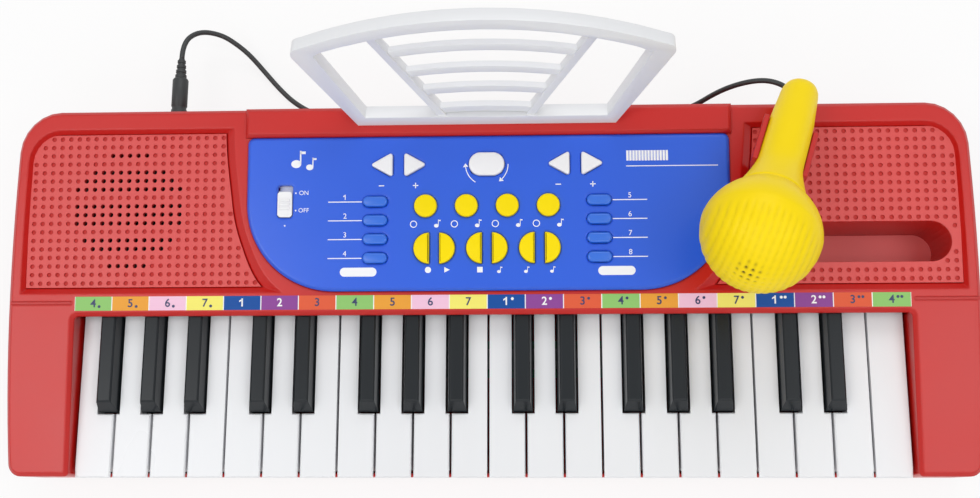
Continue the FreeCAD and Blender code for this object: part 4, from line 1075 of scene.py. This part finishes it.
class KEYBOARD_OT_print(bpy.types.Operator):
    """Print plain signs on the control panel"""

    bl_idname = "keyboard.panel_print"
    bl_label = "Panel print"

    def execute(self, context):
        bm = bmesh.new()
        for side in (-1, 1):
            self.pill_lines(bm, side)
            self.spot(bm, stadium(bm, BADGE_LENGTH, BADGE_WIDTH, side * BADGE_SIDE, BADGE_ROW))
        y = ARROW_ROW - SIGN_DROP
        for index, x in enumerate(ARROW_PLACES):
            self.bar(bm, x - SIGN_REACH, y - SIGN_HALF, x + SIGN_REACH, y + SIGN_HALF)
            if index % 2:
                self.bar(bm, x - SIGN_HALF, y - SIGN_REACH, x + SIGN_HALF, y + SIGN_REACH)
        for word, y in WORD_ROWS.items():
            letters(bm, word, WORD_SIZE, SWITCH_SIDE + WORD_SHIFT, y, PRINT_LOW, PRINT_THICK)
            self.spot(bm, disc(bm, DOT_RADIUS, SWITCH_SIDE + DOT_SHIFT, y, DOT_SIDES))
        self.spot(bm, disc(bm, DOT_RADIUS, SWITCH_SIDE, DOT_ROW, DOT_SIDES))
        y = PAD_ROW - PAD_RING_DROP
        for x in PAD_PLACES:
            self.note(bm, x + PAD_NOTE_SHIFT, PAD_ROW - PAD_NOTE_DROP)
            rings = [ring(x - PAD_RING_SHIFT, y, radius, RING_SIDES) for radius in (RING_OUTER, RING_INNER)]
            self.flat(bm, rings)
        self.signs(bm)
        self.turn_arrows(bm)
        self.bar(bm, RULE_LEFT, RULE_FRONT, RULE_RIGHT, RULE_REAR)
        for index in range(BAR_COUNT):
            left = BARS_LEFT + index * BAR_PITCH
            self.bar(bm, left, BARS_FRONT, left + BAR_WIDTH, BARS_FRONT + BAR_HEIGHT)
        for x, y, scale in LARGE_NOTES:
            self.note(bm, x, y, scale)
        white = moulded("print_white", PRINT_WHITE, roughness=0.5, coat=0.0, grain=800.0, bump=0.05,
                        mottle=0.03)
        finish_piece("panel_print", bm, [white], "case", merge=False, place=DECK)
        return {"FINISHED"}

    def bar(self, bm, x_low, y_low, x_high, y_high):
        """Straight piece of print between two corners."""
        plate(bm, x_low, y_low, x_high, y_high, PRINT_LOW, PRINT_LOW + PRINT_THICK)

    def spot(self, bm, face):
        """Raise a flat face to the thickness of the print."""
        cap(bm, face, PRINT_LOW, PRINT_LOW + PRINT_THICK, 0)

    def flat(self, bm, loops):
        """Piece of print bounded by loops."""
        add_shape(bm, perforated(loops, PRINT_LOW, PRINT_LOW + PRINT_THICK), Matrix.Identity(4))

    def pill_lines(self, bm, side):
        """Line and number beside each pill button of one side."""
        inner = side * (PILL_SIDE + PILL_LENGTH / 2 + LINE_START)
        outer = side * (PILL_SIDE + PILL_LENGTH / 2 + LINE_END)
        for row in range(PILL_ROWS):
            y = PILL_REAR - row * PILL_PITCH
            self.bar(bm, min(inner, outer), y - LINE_HALF, max(inner, outer), y + LINE_HALF)
            number = str(row + 1 if side < 0 else row + 1 + PILL_ROWS)
            letters(bm, number, NUMBER_SIZE, (inner + outer) / 2, y + NUMBER_RISE, PRINT_LOW, PRINT_THICK)

    def note(self, bm, x, y, scale=1.0):
        """Plain music note: head, stem and tail."""
        unit = MM * scale
        head = disc(bm, NOTE_HEAD * unit, 0, 0, NOTE_SIDES)
        bmesh.ops.scale(bm, vec=(1.0, NOTE_SQUASH, 1.0), verts=head)
        bmesh.ops.translate(bm, vec=(x, y, 0), verts=head)
        self.spot(bm, head)
        left = x + STEM_LEFT * unit
        self.bar(bm, left, y, x + NOTE_HEAD * unit, y + STEM_TOP * unit)
        self.bar(bm, left, y + TAIL_LOW * unit, x + TAIL_RIGHT * unit, y + TAIL_HIGH * unit)

    def signs(self, bm):
        """Plain signs under the half-moons: record, play, stop and notes."""
        y = MOON_ROW - MOON_SIGN_DROP
        beside = MOON_HALF_GAP + MOON_RADIUS / 2
        half = SIGN_REACH
        self.spot(bm, disc(bm, RECORD_RADIUS, RECORD_SHIFT - MOON_PITCH - beside, y, RECORD_SIDES))
        play = beside - MOON_PITCH
        self.flat(bm, [[(play - half, y - half), (play + half, y), (play - half, y + half)]])
        stop = STOP_SHIFT - beside
        self.bar(bm, stop - half, y - half, stop + half, y + half)
        for x in (beside, MOON_PITCH - beside, MOON_PITCH + beside):
            self.note(bm, x - MOON_NOTE_SHIFT, y - MOON_NOTE_DROP, MOON_NOTE_SCALE)

    def turn_arrows(self, bm):
        """Two curved arrows under the oval button, one towards each end."""
        centre = (0, ARROW_ROW)
        for first, last in TURN_ARCS:
            outer = arc_points(centre, TURN_OUTER, first, last, TURN_STEPS)
            inner = arc_points(centre, TURN_INNER, last, first, TURN_STEPS)
            self.flat(bm, [outer + inner])
            tip = on_circle(centre, TURN_TIP, first - TIP_LEAD)
            wings = [on_circle(centre, radius, first + WING_LAG) for radius in (WING_INNER, WING_OUTER)]
            self.flat(bm, [[tip] + wings])


class KEYBOARD_OT_keys(bpy.types.Operator):
    """Finish the keys and lay the numbered strip behind them"""

    bl_idname = "keyboard.keys"
    bl_label = "Keys and number strip"

    def execute(self, context):
        looks = context.scene.keyboard_keys
        ivory = moulded("key_white_plastic", looks.ivory, roughness=0.3, coat=0.12, grain=600.0, bump=0.03,
                        mottle=0.02, edge=0.3 * MM)
        ebony = moulded("key_black_plastic", looks.ebony, roughness=0.25, coat=0.05, grain=500.0, bump=0.05,
                        mottle=0.15, edge=0.5 * MM, gleam=0.2)
        white_keys = sorted(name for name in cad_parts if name.startswith("white_key"))
        dress(white_keys, ivory)
        for name in white_keys:
            finish_piece(name + "_nosed", self.nosed(name, looks.nose), [ivory], name, [name],
                         SHELL_SHARP)
        dress([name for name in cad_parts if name.startswith("black_key")], ebony)
        self.strip(looks)
        return {"FINISHED"}

    def strip(self, looks):
        """Strip of coloured cells, with a digit in each and dots that mark the octave."""
        finishes = [moulded("strip_white", STRIP_WHITE, roughness=0.4, coat=0.2)]
        for number in sorted(STRIP_COLOURS):
            finishes.append(moulded("strip_colour_%d" % number, STRIP_COLOURS[number], roughness=0.4,
                                    coat=0.05, grain=700.0, bump=0.04, mottle=0.03, gleam=0.15))
        finishes.append(moulded("strip_navy", STRIP_NAVY, roughness=0.45, coat=0.1))
        navy = len(finishes) - 1
        cells = bmesh.new()
        digits = bmesh.new()
        left = -CELL_COUNT * CELL_PITCH / 2
        middle = (STRIP_FRONT + STRIP_REAR) / 2
        plate(cells, left, STRIP_FRONT, -left, STRIP_REAR, STRIP_LOW, STRIP_TOP)
        for cell in range(CELL_COUNT):
            step = FIRST_NUMBER - 1 + cell
            number = step % SCALE_NOTES + 1
            octave = step // SCALE_NOTES - 1
            x = left + cell * CELL_PITCH
            right = x + CELL_PITCH - CELL_MARGIN
            plate(cells, x + CELL_MARGIN, STRIP_FRONT, right, STRIP_REAR, 0, CELL_TOP, number)
            ink = 0 if number in WHITE_INK_NUMBERS else navy
            centre = x + CELL_PITCH / 2
            letters(digits, str(number), looks.digit_size, centre, middle, INK_LOW, INK_THICK, ink, INK_BOLD)
            self.octave_dots(digits, octave, centre, middle, ink)
        for name, bm in (("number_strip", cells), ("strip_digits", digits)):
            finish_piece(name, bm, finishes, "case", merge=False, place=DECK)

    def octave_dots(self, bm, octave, centre, middle, ink):
        """Dots beside a digit: high for the upper octaves, low for the lower one."""
        y = middle + (OCTAVE_RISE if octave > 0 else OCTAVE_DROP)
        for dot in range(abs(octave)):
            made = disc(bm, OCTAVE_DOT, centre + OCTAVE_SHIFT + OCTAVE_STEP * dot, y, OCTAVE_SIDES)
            before = len(bm.faces)
            cap(bm, made, INK_LOW, INK_LOW + INK_THICK, 0)
            for face in {face for vert in made for face in vert.link_faces} | set(new_faces(bm, before)):
                face.material_index = ink

    def nosed(self, node, nose):
        """Joined copy of a white key with a thin nose over the front wall, and a little slimmer."""
        bm = joined(node)
        top = max(vert.co.z for vert in bm.verts)
        underside = top - NOSE_THICK
        for level in (underside, underside - NOSE_STEP):
            sliced(bm, (0, 0, level), (0, 0, 1))
        front = min(vert.co.y for vert in bm.verts)
        sides = [vert.co.x for vert in bm.verts]
        middle = (min(sides) + max(sides)) / 2
        for vert in bm.verts:
            if abs(vert.co.x - middle) > KEY_CORE:
                vert.co.x -= math.copysign(KEY_TRIM, vert.co.x - middle)
            if vert.co.z > underside - NOSE_STEP / 2 and vert.co.y < front + NOSE_DEPTH:
                vert.co.y = front - nose + (KEY_EDGE if vert.co.z > top - NOSE_STEP else 0.0)
        return bm


class KEYBOARD_OT_microphone(bpy.types.Operator):
    """Make the microphone's handle and its pitted head"""

    bl_idname = "keyboard.microphone"
    bl_label = "Microphone"

    def execute(self, context):
        looks = context.scene.keyboard_microphone
        place = self.own_frame()
        yellow = moulded("microphone_yellow_plastic", looks.yellow, roughness=0.4, coat=0.0, grain=600.0,
                         bump=0.05, mottle=0.04, gleam=0.2)
        finish_piece("microphone_body", spun(HANDLE_PROFILE), [yellow], "microphone",
                     ["microphone_handle"], place=place)
        self.head(looks, place)
        return {"FINISHED"}

    def own_frame(self):
        """From the microphone's own frame to the object's."""
        along = Vector((-math.cos(MIC_TILT) * math.sin(MIC_TURN), -math.cos(MIC_TILT) * math.cos(MIC_TURN),
                        math.sin(MIC_TILT)))
        across = Vector((math.cos(MIC_TURN), -math.sin(MIC_TURN), 0))
        lift = along.cross(across)
        local = Matrix((across, lift, along)).transposed().to_4x4()
        return DECK @ Matrix.Translation(TAIL) @ local

    def head(self, looks, place):
        """Dome with pits drawn along the axis, so that they turn to grooves on the steep sides."""
        bm = bmesh.new()
        bmesh.ops.create_icosphere(bm, subdivisions=HEAD_DIVISIONS, radius=HEAD_RADIUS)
        cut = sliced(bm, (0, 0, HEAD_SEAM), (0, 0, -1), clear=True)
        layer = bm.verts.layers.float.new("painted_pit_shade")
        wave = 2 * math.pi / looks.pit_pitch
        for vert in bm.verts:
            across = vert.co.xy
            column = ((1 + math.cos(across.x * wave)) / 2) ** 2
            row = (1 + math.cos(across.y * wave)) / 2
            groove = clamped((across.length - PIT_NEAR) / (PIT_FAR - PIT_NEAR))
            edge = clamped((vert.co.z - 2 * HEAD_SEAM) / (2 * HEAD_SEAM))
            along = GROOVE_FLOOR + (1 - GROOVE_FLOOR) * row
            mask = edge * column * ((1 - groove) * row ** 2 + groove * along)
            # Painted shade in the pits, strongest round the dark centre, where the pits are also deeper
            dark = max(0.0, 1 - (across - DARK_CENTRE).length / DARK_REACH)
            vert[layer] = min(1.0, mask * (PIT_SHADE + DARK_SHADE * dark))
            vert.co -= vert.co.normalized() * looks.pit_depth * mask * (1 + DARK_DEPTH * dark)
        rim = [part for part in cut["geom_cut"] if isinstance(part, bmesh.types.BMEdge)]
        bmesh.ops.edgeloop_fill(bm, edges=rim)
        bmesh.ops.translate(bm, vec=(0, 0, HEAD_LENGTH), verts=bm.verts)
        yellow = pitted("microphone_head_plastic", looks.yellow)
        finish_piece("microphone_head", bm, [yellow], "microphone",
                     ["microphone_grille"], HEAD_SHARP, place=place)


class KEYBOARD_OT_lead(bpy.types.Operator):
    """Make the microphone's lead and its plug"""

    bl_idname = "keyboard.lead"
    bl_label = "Lead and plug"

    def execute(self, context):
        looks = context.scene.keyboard_microphone
        black = moulded("lead_black_sleeve", LEAD_BLACK, roughness=0.5, coat=0.1, grain=500.0,
                        bump=0.1, mottle=0.15)
        plug = self.plug(looks, black)
        line = self.route_line()
        tube = self.tube(line, looks, black)
        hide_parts("microphone_cord")
        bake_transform(tube)
        return {"FINISHED"}

    def plug(self, looks, black):
        """Plug with its pin, grip and ringed relief."""
        profile = list(PLUG_PROFILE)
        for index in range(RELIEF_RINGS):
            low = RELIEF_START + index * RELIEF_STEP
            ridge = RELIEF_WIDE - index * RELIEF_TAPER
            neck = ridge - RELIEF_NECK
            profile += [(ridge, low + RELIEF_EASE), (ridge, low + RELIEF_STEP * RIDGE_END),
                        (neck, low + RELIEF_STEP * NECK_START), (neck, low + RELIEF_STEP)]
        profile += [(looks.lead_diameter / MM / 2, RELIEF_END), (0.0, RELIEF_END)]
        place = Matrix.Translation(PLUG_START) @ Matrix.Rotation(-math.pi / 2, 4, "X")
        return finish_piece("lead_plug", spun(profile, PLUG_SIDES), [black], "case",
                            ["microphone_plug"], place=place)

    def route_line(self):
        """Points read from the smooth line through the lead's route."""
        curve = bpy.data.curves.new("lead_route", "CURVE")
        curve.dimensions = "3D"
        curve.resolution_u = ROUTE_RESOLUTION
        spline = curve.splines.new("NURBS")
        spline.points.add(len(LEAD_ROUTE) - 1)
        for point, place in zip(spline.points, LEAD_ROUTE):
            point.co = (*[c * MM for c in place], 1)
        spline.order_u = 3
        spline.use_endpoint_u = True
        mesh = mesh_from(curve)
        line = [vert.co.copy() for vert in mesh.vertices]
        bpy.data.meshes.remove(mesh)
        return line

    def tube(self, line, looks, material):
        """Round mesh tube along a line of points."""
        bm = bmesh.new()
        normal = Vector((0, 0, 1))
        rings = []
        for index, point in enumerate(line):
            ahead = (line[min(index + 1, len(line) - 1)] - line[max(index - 1, 0)]).normalized()
            normal = (normal - ahead * normal.dot(ahead)).normalized()
            place = Matrix((ahead.cross(normal), normal, -ahead)).transposed().to_4x4()
            place.translation = point
            made = bmesh.ops.create_circle(bm, cap_ends=False, radius=looks.lead_diameter / 2,
                                           segments=looks.lead_sides, matrix=place)["verts"]
            rings.append(list({edge for vert in made for edge in vert.link_edges}))
        for first, second in zip(rings, rings[1:]):
            bmesh.ops.bridge_loops(bm, edges=first + second)
        for end in (rings[0], rings[-1]):
            bmesh.ops.edgeloop_fill(bm, edges=end)
        bmesh.ops.recalc_face_normals(bm, faces=bm.faces)
        mesh = bpy.data.meshes.new("microphone_lead")
        bm.to_mesh(mesh)
        bm.free()
        mesh.shade_smooth()
        mesh.materials.append(material)
        obj = bpy.data.objects.new("microphone_lead", mesh)
        bpy.context.scene.collection.objects.link(obj)
        return obj


class KEYBOARD_OT_stand(bpy.types.Operator):
    """Make the music stand with rounded bars"""

    bl_idname = "keyboard.stand"
    bl_label = "Music stand"

    def execute(self, context):
        looks = context.scene.keyboard_stand
        white = moulded("stand_white_plastic", looks.white, roughness=0.38, coat=0.15, grain=500.0, bump=0.04,
                        mottle=0.03)
        finish_piece("music_stand_frame", self.softened(looks), [white], "music_stand",
                     ["music_stand"], merge=False)
        return {"FINISHED"}

    def softened(self, looks):
        """Joined copy of the stand with wider sides, rounded edges, and the top bar's ends rounded more."""
        bm = joined("music_stand")
        bmesh.ops.dissolve_limit(bm, angle_limit=math.radians(FLAT_ANGLE), verts=bm.verts, edges=bm.edges)
        limit = math.radians(CORNER_ANGLE)
        inner = [edge for edge in bm.edges if edge.calc_length() > SIDE_LENGTH
                 and all(SIDE_NEAR < abs(vert.co.x) < SIDE_FAR for vert in edge.verts)]
        for vert in {vert for edge in inner for vert in edge.verts}:
            vert.co.x -= math.copysign(SIDE_EXTRA, vert.co.x)
        for vert in bm.verts:
            if abs(vert.co.x) > STAND_REACH:
                vert.co.x += math.copysign(looks.corner * CORNER_STRETCH, vert.co.x)
        ends = [edge for edge in bm.edges if edge.is_convex and edge.calc_face_angle() > limit
                and all(abs(vert.co.x) > STAND_REACH for vert in edge.verts)]
        rounded(bm, ends, looks.corner, CORNER_STEPS)
        sharp = [edge for edge in bm.edges if len(edge.link_faces) == 2 and edge.calc_face_angle() > limit]
        bmesh.ops.bevel(bm, geom=sharp, offset=looks.rounding, offset_type="OFFSET", segments=EDGE_STEPS,
                        profile=0.5, affect="EDGES", clamp_overlap=True, material=-1)
        return bm


class KEYBOARD_OT_stage(bpy.types.Operator):
    """Set the floor, light and camera"""

    bl_idname = "keyboard.stage"
    bl_label = "Stage"

    def execute(self, context):
        looks = context.scene.keyboard_stage
        scene = context.scene
        self.floor(scene, looks.floor)
        for name, (place, target, width, depth, watts) in LAMPS.items():
            self.lamp(name, place, target, width, depth, watts)
        scene.world = self.world()
        scene.camera = self.camera(scene, looks.lens)
        scene.view_settings.view_transform = "Standard"
        return {"FINISHED"}

    def floor(self, scene, colour):
        """Plain floor under the object."""
        bm = bmesh.new()
        bmesh.ops.create_grid(bm, x_segments=FLOOR_CUTS, y_segments=FLOOR_CUTS, size=FLOOR_SIZE)
        mesh = bpy.data.meshes.new("floor")
        bm.to_mesh(mesh)
        bm.free()
        floor = bpy.data.objects.new("floor", mesh)
        mesh.materials.append(self.floor_material(colour))
        scene.collection.objects.link(floor)

    def floor_material(self, colour):
        """Pale floor that the camera sees as almost white, with the object's shadow."""
        material, tree, shader = nodes_of("pale_floor")
        shader.inputs["Base Color"].default_value = (*colour, 1)
        shader.inputs["Roughness"].default_value = FLOOR_ROUGHNESS
        glow = tree.nodes.new("ShaderNodeEmission")
        glow.inputs["Color"].default_value = (1, 1, 1, 1)
        share = tree.nodes.new("ShaderNodeMath")
        share.operation = "MULTIPLY"
        share.inputs[1].default_value = FLOOR_GLOW
        tree.links.new(self.seen(tree), share.inputs[0])
        mix = tree.nodes.new("ShaderNodeMixShader")
        tree.links.new(share.outputs["Value"], mix.inputs["Fac"])
        tree.links.new(shader.outputs["BSDF"], mix.inputs[1])
        tree.links.new(glow.outputs["Emission"], mix.inputs[2])
        tree.links.new(mix.outputs["Shader"], tree.nodes["Material Output"].inputs["Surface"])
        return material

    def world(self):
        """Even light from all sides, seen as white."""
        world = bpy.data.worlds.new("studio")
        world.use_nodes = True
        tree = world.node_tree
        back = tree.nodes["Background"]
        strength = tree.nodes.new("ShaderNodeMapRange")
        strength.inputs["To Min"].default_value = WORLD_LIGHT
        strength.inputs["To Max"].default_value = WORLD_SEEN
        tree.links.new(self.seen(tree), strength.inputs["Value"])
        tree.links.new(strength.outputs["Result"], back.inputs["Strength"])
        back.inputs["Color"].default_value = (1, 1, 1, 1)
        return world

    def seen(self, tree):
        """Where the camera, a reflection or a clear piece shows the background."""
        path = tree.nodes.new("ShaderNodeLightPath")
        socket = path.outputs["Is Camera Ray"]
        for ray in ("Is Glossy Ray", "Is Transmission Ray"):
            either = tree.nodes.new("ShaderNodeMath")
            either.operation = "MAXIMUM"
            tree.links.new(socket, either.inputs[0])
            tree.links.new(path.outputs[ray], either.inputs[1])
            socket = either.outputs["Value"]
        return socket

    def lamp(self, name, place, target, width, depth, watts):
        """Soft rectangular lamp that faces a target."""
        data = bpy.data.lights.new(name, "AREA")
        data.shape = "RECTANGLE"
        data.size = width
        data.size_y = depth
        data.energy = watts
        obj = bpy.data.objects.new(name, data)
        obj.location = place
        obj.rotation_euler = (Vector(target) - Vector(place)).to_track_quat("-Z", "Y").to_euler()
        bpy.context.scene.collection.objects.link(obj)

    def camera(self, scene, lens):
        """Camera at the photograph's place."""
        camera = bpy.data.objects.new("camera", bpy.data.cameras.new("camera"))
        camera.data.lens = lens
        camera.data.sensor_width = CAMERA_SENSOR
        camera.data.sensor_fit = "HORIZONTAL"
        camera.data.clip_start = CAMERA_NEAR
        camera.location = CAMERA_PLACE
        camera.rotation_euler = [math.radians(angle) for angle in CAMERA_TURN]
        scene.collection.objects.link(camera)
        return camera


class KEYBOARD_PT_panel(bpy.types.Panel):
    """Sidebar panel that lists the pieces"""

    bl_label = "Toy keyboard"
    bl_idname = "KEYBOARD_PT_panel"
    bl_space_type = "VIEW_3D"
    bl_region_type = "UI"
    bl_category = "Keyboard"

    def draw(self, context):
        for operator in OPERATORS:
            self.layout.operator(operator.bl_idname)


OPERATORS = [
    KEYBOARD_OT_stage, KEYBOARD_OT_lead, KEYBOARD_OT_case, KEYBOARD_OT_panel, KEYBOARD_OT_print,
    KEYBOARD_OT_keys, KEYBOARD_OT_microphone, KEYBOARD_OT_stand,
]
SETTINGS = {
    "keyboard_case": CaseLooks, "keyboard_panel": PanelLooks, "keyboard_keys": KeyLooks,
    "keyboard_microphone": MicrophoneLooks, "keyboard_stand": StandLooks, "keyboard_stage": StageLooks,
}


def register():
    """Register all classes and their settings."""
    for name, settings in SETTINGS.items():
        bpy.utils.register_class(settings)
        setattr(bpy.types.Scene, name, PointerProperty(type=settings))
    for operator in OPERATORS:
        bpy.utils.register_class(operator)
    bpy.utils.register_class(KEYBOARD_PT_panel)


def unregister():
    """Remove all classes and their settings."""
    bpy.utils.unregister_class(KEYBOARD_PT_panel)
    for operator in reversed(OPERATORS):
        bpy.utils.unregister_class(operator)
    for name, settings in SETTINGS.items():
        delattr(bpy.types.Scene, name)
        bpy.utils.unregister_class(settings)


def main():
    """Build the scene."""
    register()
    bpy.ops.keyboard.stage()
    bpy.ops.keyboard.lead()
    bpy.ops.keyboard.case()
    bpy.ops.keyboard.panel()
    bpy.ops.keyboard.panel_print()
    bpy.ops.keyboard.keys()
    bpy.ops.keyboard.microphone()
    bpy.ops.keyboard.stand()


if __name__ == "__main__":
    main()
